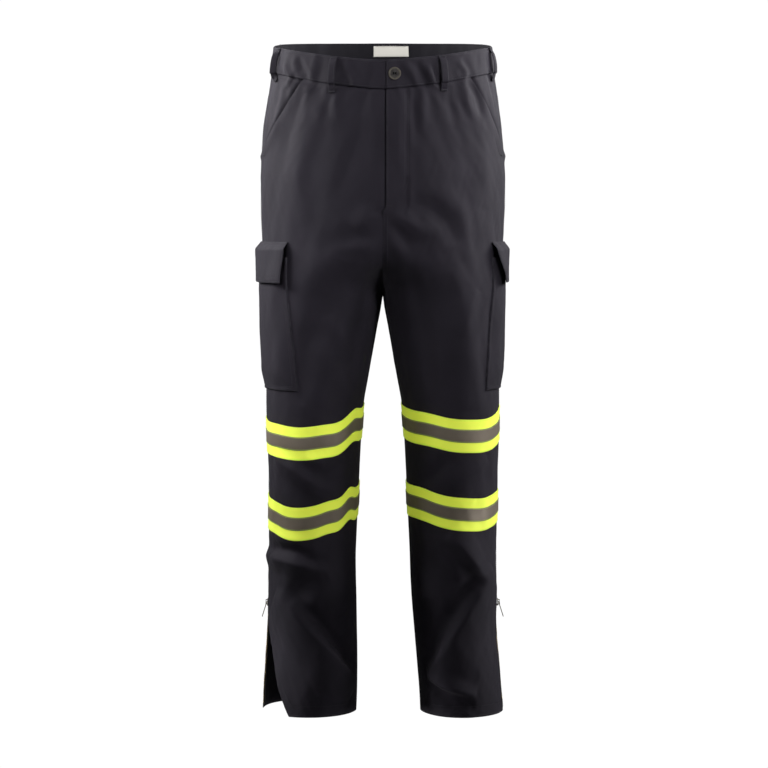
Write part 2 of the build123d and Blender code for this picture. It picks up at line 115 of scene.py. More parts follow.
def smooth_column(column, sigma=7.0):
    """One column of the sections at every millimetre, with its corners rounded off."""
    z, v = SECTIONS[:, 0], SECTIONS[:, column]
    raw = np.interp(Z_GRID, z, v)
    low, high = Z_GRID < z[0], Z_GRID > z[-1]
    raw[low] = v[0] + (Z_GRID[low] - z[0]) * (v[1] - v[0]) / (z[1] - z[0])
    raw[high] = v[-1] + (Z_GRID[high] - z[-1]) * (v[-1] - v[-2]) / (z[-1] - z[-2])
    reach = int(4 * sigma)
    kernel = np.exp(-0.5 * (np.arange(-reach, reach + 1) / sigma) ** 2)
    return np.convolve(np.pad(raw, reach, mode="edge"), kernel / kernel.sum(), mode="valid")


INNER, OUTER, FRONT, BACK = (smooth_column(i) for i in (1, 2, 3, 4))
THETA_STEP = 1.0
_angles = np.radians(np.arange(0, 180 + THETA_STEP, THETA_STEP))
_a, _b = ((OUTER - INNER) / 2)[:, None], ((BACK - FRONT) / 2)[:, None]
_speed = np.hypot(_a * np.sin(_angles), _b * np.cos(_angles)) * math.radians(THETA_STEP)
ARC = np.cumsum((_speed[:, 1:] + _speed[:, :-1]) / 2, axis=1)
ARC = np.concatenate([np.zeros((len(Z_GRID), 1)), ARC], axis=1)
S_GRID = np.arange(0.0, 460.0)
ANGLE = np.array([np.interp(S_GRID, row, np.degrees(_angles)) for row in ARC])


def ellipse(z):
    """Centre (x, y) and half widths (across, front to back) of a leg's section at each height."""
    inner, outer, front, back = (np.interp(z, Z_GRID, c) for c in (INNER, OUTER, FRONT, BACK))
    return (inner + outer) / 2, (front + back) / 2, (outer - inner) / 2, (back - front) / 2


def lookup(table, z, column, step):
    """Bilinear value of a table whose rows are heights, for arrays of the same shape."""
    zi = np.clip(z - Z_LOW, 0, len(Z_GRID) - 1.001)
    ci = np.clip(np.abs(column) / step, 0, table.shape[1] - 1.001)
    z0, c0 = zi.astype(int), ci.astype(int)
    fz, fc = zi - z0, ci - c0
    top = table[z0, c0] * (1 - fc) + table[z0, c0 + 1] * fc
    low = table[z0 + 1, c0] * (1 - fc) + table[z0 + 1, c0 + 1] * fc
    return np.sign(column) * (top * (1 - fz) + low * fz)


def s_of(z, theta):
    """Distance from the side seam of points at angles round the leg."""
    return lookup(ARC, z, theta, THETA_STEP)


def theta_of(z, s):
    """Angle of points at distances from the side seam."""
    return lookup(ANGLE, z, s, 1.0)


def theta_at_x(z, x):
    """Angle of points given by how far they are from the middle of the body."""
    cx, _, a, _ = ellipse(z)
    return np.degrees(np.arccos(np.clip((x - cx) / a, -1, 1)))


def ease(x):
    """A smooth step from 0 to 1 while x goes from 0 to 1."""
    x = np.clip(x, 0, 1)
    return x * x * (3 - 2 * x)


def bell(x, width):
    """A bump: 1 where x is 0, fading out beyond width on both sides."""
    return np.exp(-(x / width) ** 2)


def unit(vectors):
    return vectors / np.linalg.norm(vectors, axis=-1, keepdims=True)


# ------------------------------------------------------------------ folds
def s_at_x(z, x, back=False):
    """Distance from the side seam of points given by x, on the front or the back."""
    s = s_of(z, theta_at_x(z, x))
    return s if back else -s


def along(points, s, z):
    """Signed distance to a polyline, and how far along it the nearest point is, from 0 to 1."""
    seg = np.diff(points, axis=0)
    length = np.hypot(seg[:, 0], seg[:, 1])
    start = np.concatenate([[0], np.cumsum(length)])
    best = np.full(s.shape, 1e9)
    signed, share = np.zeros(s.shape), np.zeros(s.shape)
    for (ps, pz), (ds, dz), ln, at in zip(points, seg, length, start):
        t = np.clip(((s - ps) * ds + (z - pz) * dz) / ln ** 2, 0, 1)
        es, ez = s - ps - t * ds, z - pz - t * dz
        d = np.hypot(es, ez)
        near = d < best
        best = np.where(near, d, best)
        signed = np.where(near, np.where(ds * ez - dz * es >= 0, d, -d), signed)
        share = np.where(near, (at + t * ln) / start[-1], share)
    return signed, share


# A fold is its width left and right of its line (looking along it, s to the right and z up), its height
# and the line's points (x, z). It is a ridge if its height is positive, and a furrow if it isn't.
RIGHT_FOLDS = [
    # lower leg
    (9, 10, -5.0, (170, -764), (132, -766), (98, -786)),
    (20, 11, 8.0, (180, -778), (150, -781), (122, -786), (88, -799)),
    (16, 20, -6.0, (86, -802), (118, -815), (150, -848)),
    (50, 11, 16.0, (166, -834), (140, -853), (108, -894), (74, -941), (52, -984)),
    (30, 30, -4.0, (124, -826), (96, -860), (70, -896)),
    # knees, between the tapes
    (18, 12, 4.4, (166, -622), (134, -640), (100, -664), (70, -676)),
    (12, 14, -3.6, (64, -624), (84, -646), (100, -676)),
    (12, 12, 3.0, (120, -616), (104, -626), (88, -628)),
    # thighs
    (24, 20, 4.6, (20, -262), (28, -330), (50, -400), (78, -470), (92, -545)),
    (20, 20, -3.6, (62, -320), (88, -390), (116, -460), (124, -540)),
    (14, 16, 2.6, (84, -404), (64, -436), (48, -470)),
    (12, 16, 2.6, (70, -492), (56, -512), (48, -540)),
    # crotch and fly: folds that fan out from the foot of the fly
    (18, 14, 3.6, (6, -248), (24, -258), (42, -276)),
    (16, 14, -1.6, (10, -280), (50, -290), (92, -300)),
    (13, 9, 1.5, (6, -304), (40, -300), (80, -302)),
    (10, 12, 1.6, (4, -288), (14, -312), (22, -340)),
    # below the waistband
    (18, 22, -2.6, (24, -70), (34, -130), (58, -200), (70, -236)),
    (26, 18, 2.4, (108, -72), (118, -130), (128, -200), (120, -270)),
    (9, 9, 1.4, (72, -60), (70, -84), (64, -112)),
    (9, 9, -1.4, (92, -60), (90, -80), (84, -104)),
    # in the waistband
    (7, 5, 3.2, (148, -22), (138, -42), (146, -62)),
    (8, 6, -3.0, (128, -18), (118, -38), (104, -58)),
    (6, 7, 2.6, (56, -26), (46, -46), (34, -64))]
LEFT_FOLDS = [
    # lower leg
    (26, 11, 10.0, (98, -740), (119, -757), (138, -784), (158, -814)),
    (18, 24, -6.0, (66, -776), (104, -812), (142, -824)),
    (50, 13, 14.0, (170, -797), (147, -830), (112, -887), (88, -928), (66, -964)),
    (18, 6, 8.0, (62, -962), (96, -978), (142, -991)),
    (12, 12, -6.0, (72, -988), (100, -1000), (140, -1005)),
    (26, 26, -4.0, (66, -840), (64, -880), (60, -920)),
    # knees, between the tapes
    (16, 18, 4.0, (160, -622), (132, -646), (104, -668)),
    (14, 14, -3.4, (100, -618), (82, -642), (60, -664)),
    # thighs
    (26, 24, 4.0, (104, -330), (124, -400), (130, -480), (128, -548)),
    (18, 20, -3.2, (40, -330), (56, -400), (66, -470), (72, -540)),
    (12, 14, 2.6, (146, -366), (130, -398), (118, -436)),
    # crotch and fly: folds that fan out from the foot of the fly
    (17, 15, -4.6, (42, -232), (72, -242), (98, -262), (112, -296)),
    (12, 14, 3.4, (14, -248), (44, -266), (72, -286)),
    (10, 10, -2.4, (8, -262), (24, -282), (44, -300)),
    (11, 11, 2.6, (6, -272), (22, -300), (40, -330)),
    # below the waistband
    (13, 12, 2.2, (24, -60), (23, -120), (25, -200)),
    (10, 10, -2.0, (46, -60), (48, -110), (52, -150)),
    (9, 9, 2.2, (60, -58), (58, -90), (56, -130)),
    (9, 9, -1.8, (104, -58), (102, -84), (108, -116)),
    (9, 8, 2.2, (122, -58), (126, -80), (134, -108)),
    (8, 8, -2.2, (136, -56), (144, -78), (150, -104)),
    (26, 22, 2.0, (150, -110), (156, -170), (150, -240)),
    # in the waistband
    (6, 6, 3.2, (32, -22), (44, -42), (52, -64)),
    (6, 6, -3.0, (48, -22), (58, -40), (66, -62)),
    (5, 6, 2.8, (66, -28), (73, -46), (80, -64)),
    (7, 6, 2.2, (112, -20), (124, -36), (120, -58))]
BACK_FOLDS = [
    (14, 14, 3.2, (10, -300), (50, -318), (104, -322), (150, -312)),
    (14, 14, -3.2, (6, -322), (52, -342), (110, -350), (160, -344)),
    (16, 14, 2.8, (24, -380), (64, -410), (110, -440)),
    (12, 14, 3.2, (48, -628), (100, -640), (160, -630)),
    (12, 12, -3.0, (52, -648), (104, -660), (166, -650)),
    (12, 14, 3.0, (50, -672), (100, -680), (164, -668)),
    (16, 14, -2.8, (60, -780), (110, -800), (160, -790)),
    (24, 16, 3.4, (60, -850), (110, -900), (150, -960))]


def plane_waves(seed, count, length_s, length_z):
    """Random smooth ripples: rows of (cycles per mm round the leg, cycles per mm up it, phase, height)."""
    rng = np.random.default_rng(seed)
    spread = rng.uniform(0.6, 1.7, (count, 2))
    fs = rng.choice([-1, 1], count) / (length_s * spread[:, 0])
    fz = 1 / (length_z * spread[:, 1])
    return np.stack([fs, fz, rng.uniform(0, 2 * math.pi, count), rng.uniform(0.5, 1, count)], axis=1)


def ripple(waves, s, z):
    total = sum(h * np.sin(2 * math.pi * (fs * s + fz * z) + phase) for fs, fz, phase, h in waves)
    return total / math.sqrt(len(waves))


SOFT = {side: plane_waves(11 + i, 9, 130, 330) for i, side in enumerate(SIDES)}
MEDIUM = {side: plane_waves(31 + i, 10, 46, 120) for i, side in enumerate(SIDES)}
FINE = {side: plane_waves(51 + i, 12, 15, 34) for i, side in enumerate(SIDES)}


def fold_profile(away):
    """A fold's height at a distance from its line, in widths: a rounded crest with a slight dip beside it."""
    crest = 1.14 - np.sqrt(away ** 2 + 0.02)
    return 0.5 * (crest + np.sqrt(crest ** 2 + 0.02)) - 0.3 * bell(away - 1.7, 0.8)


def folds(side, z, theta):
    """How far the folds push the cloth outwards, in millimetres."""
    s = s_of(z, theta)
    total = sum(h * ripple(w[side], s, z) for h, w in ((0.9, SOFT), (0.5, MEDIUM), (0.14, FINE)))
    total = total + 0.9 * ripple(MEDIUM[side], s * 1.7, z * 0.25) * bell(z + 60, 40)
    for back, entries in ((False, LEFT_FOLDS if side == "left" else RIGHT_FOLDS), (True, BACK_FOLDS)):
        for left_width, right_width, height, *points in entries:
            fold_x, fold_z = np.array(points, float).T
            signed, share = along(np.stack([s_at_x(fold_z, fold_x, back), fold_z], axis=1), s, z)
            taper = np.clip(4 * share * (1 - share), 0, 1) ** 0.6
            away = np.abs(signed) / np.where(signed > 0, left_width, right_width)
            total = total + height * taper * fold_profile(away)
    inner = s_of(z, np.where(z > CROTCH_Z + 25, theta_at_x(z, 0.0), 180.0))
    from_seam = inner - np.abs(s)
    return total * ease(from_seam / 22) * ease((z - HEM_Z + 14) / 30)


def place(side, z, theta, off):
    """Points of one leg, in metres, at heights, angles from the side seam in degrees, and offsets."""
    cx, cy, a, b = ellipse(z)
    t = np.radians(theta)
    x = cx + (a + off) * np.cos(t)
    low = ease((SPREAD_TOP - z) / SPREAD_REACH)
    x = x - HEM_SPREAD[side] * (1 - np.cos(t)) / 2 * low
    return np.stack([SIDES[side] * x, cy + (b + off) * np.sin(t), z], axis=-1) * MM


# ------------------------------------------------------------------ meshes
def new_object(name, verts, faces, mat, smooth=True):
    mesh = bpy.data.meshes.new(name)
    mesh.from_pydata([tuple(v) for v in verts], [], faces)
    mesh.validate()
    mesh.materials.append(mat)
    mesh.polygons.foreach_set("use_smooth", [smooth] * len(mesh.polygons))
    obj = bpy.data.objects.new(name, mesh)
    bpy.context.scene.collection.objects.link(obj)
    return obj


def set_attribute(obj, name, kind, values):
    attribute = obj.data.attributes.new(name, kind, "POINT")
    key = "vector" if kind == "FLOAT_VECTOR" else "value"
    attribute.data.foreach_set(key, np.asarray(values, np.float32).ravel())


def grid_faces(index, flip, wrap):
    """Quads between neighbours of a grid of vertex numbers, joined round if wrap."""
    if wrap:
        index = np.c_[index, index[:, :1]]
    quads = np.stack([index[:-1, :-1], index[:-1, 1:], index[1:, 1:], index[1:, :-1]], axis=-1).reshape(-1, 4)
    return (quads[:, ::-1] if flip else quads).tolist()


def rim_faces(index, flip, wrap):
    """Quads that join the rims of a sheet's two faces."""
    count = index.size
    if wrap:
        rims = [np.append(index[r], index[r, 0]) for r in (0, -1)]
    else:
        rims = [np.concatenate([index[0], index[1:, -1], index[-1, -2::-1], index[-2::-1, 0]])]
    faces = []
    for i, rim in enumerate(rims):
        p, q = rim[:-1], rim[1:]
        quads = np.stack([q, p, p + count, q + count], axis=1)
        turn = flip != (wrap and i == 1)
        faces += (quads[:, ::-1] if turn else quads).tolist()
    return faces


def cloth_grid(name, outer, inner, mat, flip=False, wrap=False, cloth=None, wear=0.0):
    """A closed sheet of cloth from the grids of its two faces, each rows x columns x 3, in metres.

    cloth holds each point's place in the cloth's own plane, in millimetres, and wear runs from 0 to 1.
    """
    shape = outer.shape[:2]
    index = np.arange(shape[0] * shape[1]).reshape(shape)
    faces = grid_faces(index, flip, wrap) + grid_faces(index + index.size, not flip, wrap)
    faces += rim_faces(index, flip, wrap)
    obj = new_object(name, np.concatenate([outer.reshape(-1, 3), inner.reshape(-1, 3)]), faces, mat)
    flat = np.tile(cloth.reshape(-1, 2), (2, 1))
    set_attribute(obj, "cloth", "FLOAT_VECTOR", np.c_[flat * MM, np.zeros(len(flat))])
    set_attribute(obj, "wear", "FLOAT", np.tile(np.broadcast_to(np.clip(wear, 0, 1), shape).ravel(), 2))
    obj.data.set_sharp_from_angle(angle=math.radians(50))
    return obj


# ------------------------------------------------------------------ materials
def plug(tree, socket, value):
    """Joins another node's output to a socket, or sets the socket's own value. Colours get alpha 1."""
    if isinstance(value, bpy.types.NodeSocket):
        tree.links.new(value, socket)
    elif socket.type == "RGBA":
        socket.default_value = (*value, 1)
    else:
        socket.default_value = value


def add(tree, kind, inputs=None, **settings):
    """A new shader node with its settings, and its inputs plugged by name or number."""
    node = tree.nodes.new("ShaderNode" + kind)
    for key, value in settings.items():
        setattr(node, key, value)
    for key, value in (inputs or {}).items():
        plug(tree, node.inputs[key], value)
    return node


def material(name, base, rough, metallic=0.0, sheen=0.0, coat=0.0, specular=0.5):
    """A plain material, with its node tree and its main shader."""
    mat = bpy.data.materials.new(name)
    mat.use_nodes = True
    tree = mat.node_tree
    bsdf = tree.nodes["Principled BSDF"]
    values = {"Base Color": base, "Roughness": rough, "Metallic": metallic, "Sheen Weight": sheen,
              "Sheen Roughness": 0.45, "Coat Weight": coat, "Specular IOR Level": specular}
    for key, value in values.items():
        plug(tree, bsdf.inputs[key], value)
    return mat, tree, bsdf


def calc(tree, operation, *values):
    return add(tree, "Math", dict(enumerate(values)), operation=operation).outputs[0]


def weighted(tree, *parts):
    """The sum of values times their weights."""
    total = None
    for value, weight in parts:
        part = calc(tree, "MULTIPLY", value, weight)
        total = part if total is None else calc(tree, "ADD", total, part)
    return total


def mix_color(tree, factor, a, b):
    return add(tree, "Mix", {0: factor, 6: a, 7: b}, data_type="RGBA").outputs[2]


def noise(tree, coordinate, scale, detail=3.0):
    inputs = {"Vector": coordinate, "Scale": scale, "Detail": detail, "Roughness": 0.55}
    return add(tree, "TexNoise", inputs).outputs["Fac"]


def span(tree, value, low, high):
    """The value mapped so that low to high becomes 0 to 1."""
    return add(tree, "MapRange", {"Value": value, "From Min": low, "From Max": high}).outputs["Result"]


def bump(tree, bsdf, height, strength, distance):
    inputs = {"Height": height, "Strength": strength, "Distance": distance}
    plug(tree, bsdf.inputs["Normal"], add(tree, "Bump", inputs).outputs["Normal"])


def stripes(tree, coordinate, direction, pitch):
    """A sine of the distance along direction, one cycle per pitch, from 0 to 1."""
    cycle = 2 * math.pi / math.hypot(*direction) / pitch
    inputs = {0: coordinate, 1: [cycle * d for d in direction] + [0.0]}
    distance = add(tree, "VectorMath", inputs, operation="DOT_PRODUCT").outputs["Value"]
    return calc(tree, "ADD", calc(tree, "MULTIPLY", calc(tree, "SINE", distance), 0.5), 0.5)


def woven(name, dark, light, rough, sheen, ribs, wear_color=None, depth=0.0002, specular=0.2):
    """Cloth whose ribs are (direction, pitch in metres, weight) in the cloth's own plane."""
    mat, tree, bsdf = material(name, dark, rough, sheen=sheen, specular=specular)
    cloth = add(tree, "Attribute", attribute_name="cloth").outputs["Vector"]
    threads = weighted(tree, *((stripes(tree, cloth, way, pitch), weight) for way, pitch, weight in ribs))
    grain = noise(tree, cloth, 1500.0)
    weave = weighted(tree, (threads, 0.7), (grain, 0.3))
    cloud = span(tree, noise(tree, cloth, 9.0, 4.0), 0.3, 0.7)
    color = mix_color(tree, weighted(tree, (weave, 0.6), (cloud, 0.4)), dark, light)
    if wear_color:
        wear = add(tree, "Attribute", attribute_name="wear").outputs["Fac"]
        worn = calc(tree, "MULTIPLY", wear, span(tree, noise(tree, cloth, 160.0), 0.35, 0.75))
        color = mix_color(tree, worn, color, wear_color)
    plug(tree, bsdf.inputs["Base Color"], color)
    plug(tree, bsdf.inputs["Roughness"], calc(tree, "ADD", calc(tree, "MULTIPLY", grain, 0.12), rough - 0.06))
    bump(tree, bsdf, weave, 0.5, depth)
    return mat


TWILL_RIBS = [((1, 1), 0.0011, 0.8), ((1, -0.35), 0.00062, 0.2)]
PLAIN_RIBS = [((1, 0), 0.0009, 0.5), ((0, 1), 0.0009, 0.5)]
ZIP_RIBS = [((1, 1), 0.0012, 0.5), ((1, -1), 0.0012, 0.5)]
SILVER_RIBS = [((1, 1), 0.0016, 0.5), ((1, -1), 0.0016, 0.5)]
THREAD_RIBS = [((1, 0), 0.0006, 1.0)]
twill = woven("twill", (0.0089, 0.0077, 0.0113), (0.0222, 0.0192, 0.0270), 0.74, 0.03, TWILL_RIBS,
              (0.040, 0.038, 0.045), specular=0.09)
# The lining is darker than the twill: painted shade for the inside of the waistband.
lining = woven("lining", (0.007, 0.0066, 0.0085), (0.014, 0.013, 0.017), 0.85, 0.02, PLAIN_RIBS, specular=0.1)
lime = woven("lime_tape", (0.74, 0.88, 0.06), (0.86, 0.97, 0.12), 0.6, 0.1, PLAIN_RIBS, depth=0.0001)
# The lime tape glows a little, though it is no lamp: painted light that keeps it bright.
lime_shader = lime.node_tree.nodes["Principled BSDF"]
lime_shader.inputs["Emission Color"].default_value = (0.80, 1.0, 0.06, 1)
lime_shader.inputs["Emission Strength"].default_value = 0.16
silver = woven("silver_strip", (0.145, 0.12, 0.095), (0.21, 0.178, 0.145), 0.5, 0.0, SILVER_RIBS,
               depth=0.00008)
silver.node_tree.nodes["Principled BSDF"].inputs["Metallic"].default_value = 0.35
pile = woven("hook_and_loop", (0.010, 0.010, 0.012), (0.03, 0.03, 0.034), 0.95, 0.5, PLAIN_RIBS, depth=0.0006)
zip_tape = woven("zip_tape", (0.010, 0.010, 0.012), (0.022, 0.022, 0.026), 0.85, 0.2, ZIP_RIBS)
label_cloth = woven("label", (0.50, 0.48, 0.44), (0.66, 0.64, 0.59), 0.6, 0.2, PLAIN_RIBS, depth=0.00008)
lime_thread = woven("lime_thread", (0.40, 0.62, 0.03), (0.55, 0.80, 0.05), 0.6, 0.2, THREAD_RIBS,
                    depth=0.0001)
thread = woven("thread", (0.010, 0.0095, 0.013), (0.026, 0.0245, 0.032), 0.7, 0.05, THREAD_RIBS, depth=0.0001)
# The button's thread is near black: painted shade of the sunken holes it runs through.
shaded_button_thread = material("shaded_button_thread", (0.003, 0.003, 0.004), 0.9, specular=0.03)[0]


def antique_brass():
    """Brass, dark in patches and finely scratched."""
    mat, tree, bsdf = material("antique_brass", (0.14, 0.09, 0.035), 0.34, metallic=1.0)
    where = add(tree, "TexCoord").outputs["Object"]
    cloud, fine = noise(tree, where, 420.0, 4.0), noise(tree, where, 5040.0, 2.0)
    color = mix_color(tree, span(tree, cloud, 0.35, 0.65), (0.14, 0.09, 0.035), (0.46, 0.33, 0.15))
    plug(tree, bsdf.inputs["Base Color"], color)
    plug(tree, bsdf.inputs["Roughness"], calc(tree, "ADD", calc(tree, "MULTIPLY", fine, 0.25), 0.22))
    bump(tree, bsdf, fine, 0.25, 0.0001)
    return mat


brass = antique_brass()


def box_of(obj):
    """Two opposite corners of an object's box, in metres."""
    corners = np.array([obj.matrix_world @ Vector(c) for c in obj.bound_box])
    return corners.min(axis=0), corners.max(axis=0)


def button_material(button):
    """Horn-like plastic, with a painted highlight on its raised rim, which is paler than the dished middle.
    """
    mat, tree, bsdf = material("button", (0.03, 0.026, 0.022), 0.3, coat=0.5)
    low, high = box_of(button)
    radius = (high - low)[0] / 2
    where = add(tree, "TexCoord").outputs["Object"]
    from_middle = add(tree, "VectorMath", {0: where, 1: (low + high) / 2}, operation="SUBTRACT")
    flat = add(tree, "VectorMath", {0: from_middle.outputs["Vector"], 1: (1, 0, 1)}, operation="MULTIPLY")
    distance = add(tree, "VectorMath", {0: flat.outputs["Vector"]}, operation="LENGTH").outputs["Value"]
    cloud = span(tree, noise(tree, where, 240.0, 4.0), 0.35, 0.65)
    horn = mix_color(tree, cloud, (0.024, 0.022, 0.022), (0.054, 0.050, 0.049))
    # rim: a paler colour round the edge, a painted highlight.
    rim = mix_color(tree, cloud, (0.056, 0.050, 0.041), (0.122, 0.108, 0.086))
    color = mix_color(tree, span(tree, distance, 0.66 * radius, 0.80 * radius), horn, rim)
    plug(tree, bsdf.inputs["Base Color"], color)
    return mat


# ------------------------------------------------------------------ body panels
PANEL_ROWS = np.concatenate([np.arange(PANEL_TOP, -322, -3.0), np.arange(-322, -368, -1.0),
                             np.arange(-368, HEM_Z + 8, -3.0), HEM_Z + np.array([6, 4, 2, 0.6, 0])])
PANEL_COLUMNS = 92


def vent_lean(side, z):
    """How far the front edge of a vent has opened at heights below its top."""
    return VENT_OPENING[side] * np.clip((VENT_TOP - z) / (VENT_TOP - HEM_Z), 0, 1)


def vent_angle(side, z, front):
    """Angle of the folded edge beside the zip at heights below the vent's top."""
    _, _, _, b = ellipse(z)
    reach = VENT_HALF + (vent_lean(side, z) if front else 0)
    return np.degrees(np.arcsin(np.clip(reach / b, 0, 1))) * ease((VENT_TOP + 4 - z) / 8)


def slant_x(side, z):
    """The hand pocket's slanting edge, across the front."""
    t = (SLANT_TOP - z) / (SLANT_TOP - SLANT_LOW)
    bow = SLANT_BOW[side] * np.sin(np.pi * np.clip(t, 0, 1))
    return SLANT_START[side] + (SLANT_END - SLANT_START[side]) * t + bow


def waist_z(theta, drop):
    """Height of a line that runs parallel to the waistband's top edge, drop below it."""
    z = np.full(np.shape(theta), -20.0 - drop)
    for _ in range(2):
        _, cy, _, b = ellipse(z)
        z = WAIST_TOP + WAIST_TAN * (cy + b * np.sin(np.radians(theta))) - drop
    sideways = np.clip(np.cos(np.radians(theta)), 0, 1)
    at_back = SIDE_RISE * sideways ** 2.5
    smooth = (np.sqrt(sideways ** 2 + 0.01) - 0.1) / 0.905
    at_front = 1.55 * SIDE_RISE * smooth * (1 - 0.355 * bell(theta, 20))
    return z + MIDDLE_RISE + np.where(theta < 0, at_front, at_back) + 0.1 * drop * sideways


def spread(count, edge):
    """Fractions from 0 to 1, closer together near both ends."""
    t = np.linspace(0, 1, count)
    return t - edge * np.sin(2 * math.pi * t) / (2 * math.pi)


def seam_roll(distance, width=5.0, depth=1.1):
    """How far cloth turns in towards a seam or a folded edge at this distance from it."""
    return -depth * bell(np.maximum(distance, 0), width)


def under_band(z0, theta):
    """Rows counted down from PANEL_TOP, moved so that the first one runs behind the waistband."""
    return z0 + (waist_z(theta, BAND_HEIGHT - 7) - PANEL_TOP) * ease((z0 + 170) / 110)


def pocket_edge(side, z0):
    """Angle of the front's slanting edge for each row, and 0, the side seam, below it."""
    z = z0
    for _ in range(6):
        cx, _, a, _ = ellipse(z)
        theta = np.where(z0 > SLANT_LOW - 5, theta_at_x(z, np.minimum(slant_x(side, z), cx + a)), 0.0)
        z = under_band(z0, -theta)
    return theta


def front_relief(side, z0, z, to_outer, to_inner):
    """How far a front's cloth stands off its even surface near the edges, and how worn it is there.

    Seams turn in, the slanting edge and the left one at the fly stand out, and the fly's stitching puckers.
    """
    slant, vent = ease((z0 + 172) / 12), ease((VENT_TOP + 2 - z0) / 6)
    fly = ease((z0 - FLY_BOTTOM + 14) / 12)
    free = np.maximum(slant, vent)
    off = seam_roll(to_outer) * (1 - free) + slant * 2.4 * bell(to_outer, 22)
    off = off + seam_roll(to_inner, 4.0, 0.9) * (1 - fly)
    wear = 0.6 * bell(to_outer, 2.0) * free
    if side == "right":
        return off - fly * 1.6 * np.exp(-(to_inner / 14) ** 4), wear
    from_stitch = to_inner - FLY_STITCH + 7
    pucker = 0.7 + 0.3 * np.sin(z / 4.1) * np.sin(z / 17 + 1)
    swell = 0.6 + 0.4 * np.sin(z / 23)
    off = off + fly * 1.5 * (bell(to_inner, 24) + bell(from_stitch - 6, 4.0) * swell)
    off = off - fly * 1.4 * bell(from_stitch, 2.4) * pucker
    return off, wear + 0.5 * fly * bell(to_inner, 2.0)


def back_relief(z0, to_outer, to_inner):
    """How far a back's cloth stands off near the edges, and how worn it is there."""
    vent = ease((VENT_TOP + 2 - z0) / 6)
    off = seam_roll(to_outer) * (1 - vent) + seam_roll(to_inner, 4.0, 0.9)
    return off, 0.4 * bell(to_outer, 2.0) * vent


def keep_to_middle(side, grid, middle, edge):
    """Keeps a panel's points on their side of its middle line, and those of its edge exactly on it."""
    x = np.maximum(SIDES[side] * grid[..., 0], middle * MM)
    grid[..., 0] = SIDES[side] * np.where(edge, middle * MM, x)


def panel(side, front):
    """The front or back of one leg, from under the waistband to the hem, as one piece of cloth."""
    z0, u = PANEL_ROWS[:, None], spread(PANEL_COLUMNS, 0.35)[None, :]
    middle = (FLY_LAP[side] if front else 0.0) * ease((z0 - FLY_BOTTOM + 4) / 8)
    cx, _, a, _ = ellipse(z0)
    above_crotch = cx - a < middle
    inner_theta = np.where(above_crotch, theta_at_x(z0, middle), 179.95)
    outer_theta = vent_angle(side, z0, front) + (pocket_edge(side, z0) if front else 0.0)
    tuck = np.where((u > 0.999) & (not front), 1 - ease((VENT_TOP + 12 - z0) / 8), 0.0)
    theta = (inner_theta * (1 - u) + (outer_theta + 0.05) * u - 0.6 * tuck) * (-1 if front else 1)
    z = under_band(z0, theta)
    s = s_of(z, theta)
    to_outer, to_inner = np.abs(s) - s_of(z, outer_theta + 0 * z), s_of(z, inner_theta + 0 * z) - np.abs(s)
    if front:
        relief, wear = front_relief(side, z0, z, to_outer, to_inner)
    else:
        relief, wear = back_relief(z0, to_outer, to_inner)
    hem = 0.35 * bell(z - HEM_Z - HEM_TURN, 1.6)
    behind_band = 1.4 * ease((z - (waist_z(theta, BAND_HEIGHT) - 6)) / 8)
    off = folds(side, z, theta) + relief - hem - behind_band - 1.9 * tuck
    faces = [place(side, z, theta, off), place(side, z, theta, off - TWILL)]
    for grid in faces:
        keep_to_middle(side, grid, middle, above_crotch & (u < 1e-6))
    obj = cloth_grid(f"{'front' if front else 'back'}_{side}", *faces, twill, flip=(side == "left") != front,
                     cloth=np.stack([s, z], -1), wear=wear + 0.5 * bell(z - HEM_Z - 1, 3.0))
    return obj


def bend_at_knee(obj):
    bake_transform(obj)


for side in SIDES:
    front_piece = panel(side, True)
    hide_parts(f"front_panel_{side}", f"shin_front_{side}", f"knee_section_{side}")
    back_piece = panel(side, False)
    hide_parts(f"back_panel_{side}", f"shin_back_{side}")
    bend_at_knee(front_piece)
    bend_at_knee(back_piece)


# ------------------------------------------------------------------ layers that follow the legs
def layer(name, side, z, theta, off, thick, mat=twill, slot="twill", held="hung", rests=(), flat=None,
          nodes=(), body="trousers", flip=None, cloth=None, wear=0.0):
    """A layer of cloth over the grids z and theta: its outer face at off, its inner one thick below.

    flat, its offset when laid flat, is not used; nodes are the CAD parts it replaces and body the part it
    moves with.
    """
    lift = off + folds(side, z, theta)
    if cloth is None:
        cloth = np.stack([s_of(z, theta), z], -1)
    if flip is None:
        flip = SIDES[side] < 0
    obj = cloth_grid(name, place(side, z, theta, lift), place(side, z, theta, lift - thick), mat,
                     flip=flip, cloth=cloth, wear=wear)
    if nodes:
        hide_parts(*nodes)
    if body:
        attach(obj, body)
    return obj


def tape_height(side, place_name, theta):
    """Height of a tape's middle line round the leg."""
    middle, slope_x, slope_y, waves = TAPES[side, place_name]
    cx, cy, a, b = ellipse(np.full(np.shape(theta), middle))
    t = np.radians(theta)
    z = middle - math.tan(math.radians(slope_x)) * (cx + a * np.cos(t) - LEG_MIDDLE)
    z = z + math.tan(math.radians(slope_y)) * (cy + b * np.sin(t))
    for at, width, height in waves:
        z = z + height * bell((theta - at + 180) % 360 - 180, width)
    return z + 0.4 * np.sin(t * 5 + middle)


def ring(name, side, place_name, width, off, thick, mat):
    """A tape sewn round one leg."""
    h = np.linspace(width / 2, -width / 2, 21 if width > 30 else 11)[:, None]
    theta = np.linspace(-180, 180, 241)[None, :-1]
    z = tape_height(side, place_name, theta) + h
    theta = theta + 0 * z
    lift = folds(side, z, theta) + off - 0.25 * bell(width / 2 - np.abs(h), 1.2)
    outer, inner = place(side, z, theta, lift), place(side, z, theta, lift - thick)
    obj = cloth_grid(f"{place_name}_{name}_{side}", outer, inner, mat, flip=SIDES[side] < 0, wrap=True,
                     cloth=np.stack([s_of(z, theta), z], -1))
    flat = place(side, z, theta, off + 0 * z)
    flat = np.concatenate([flat, flat[:, :1]], axis=1)
    bend_at_knee(obj)
    return obj


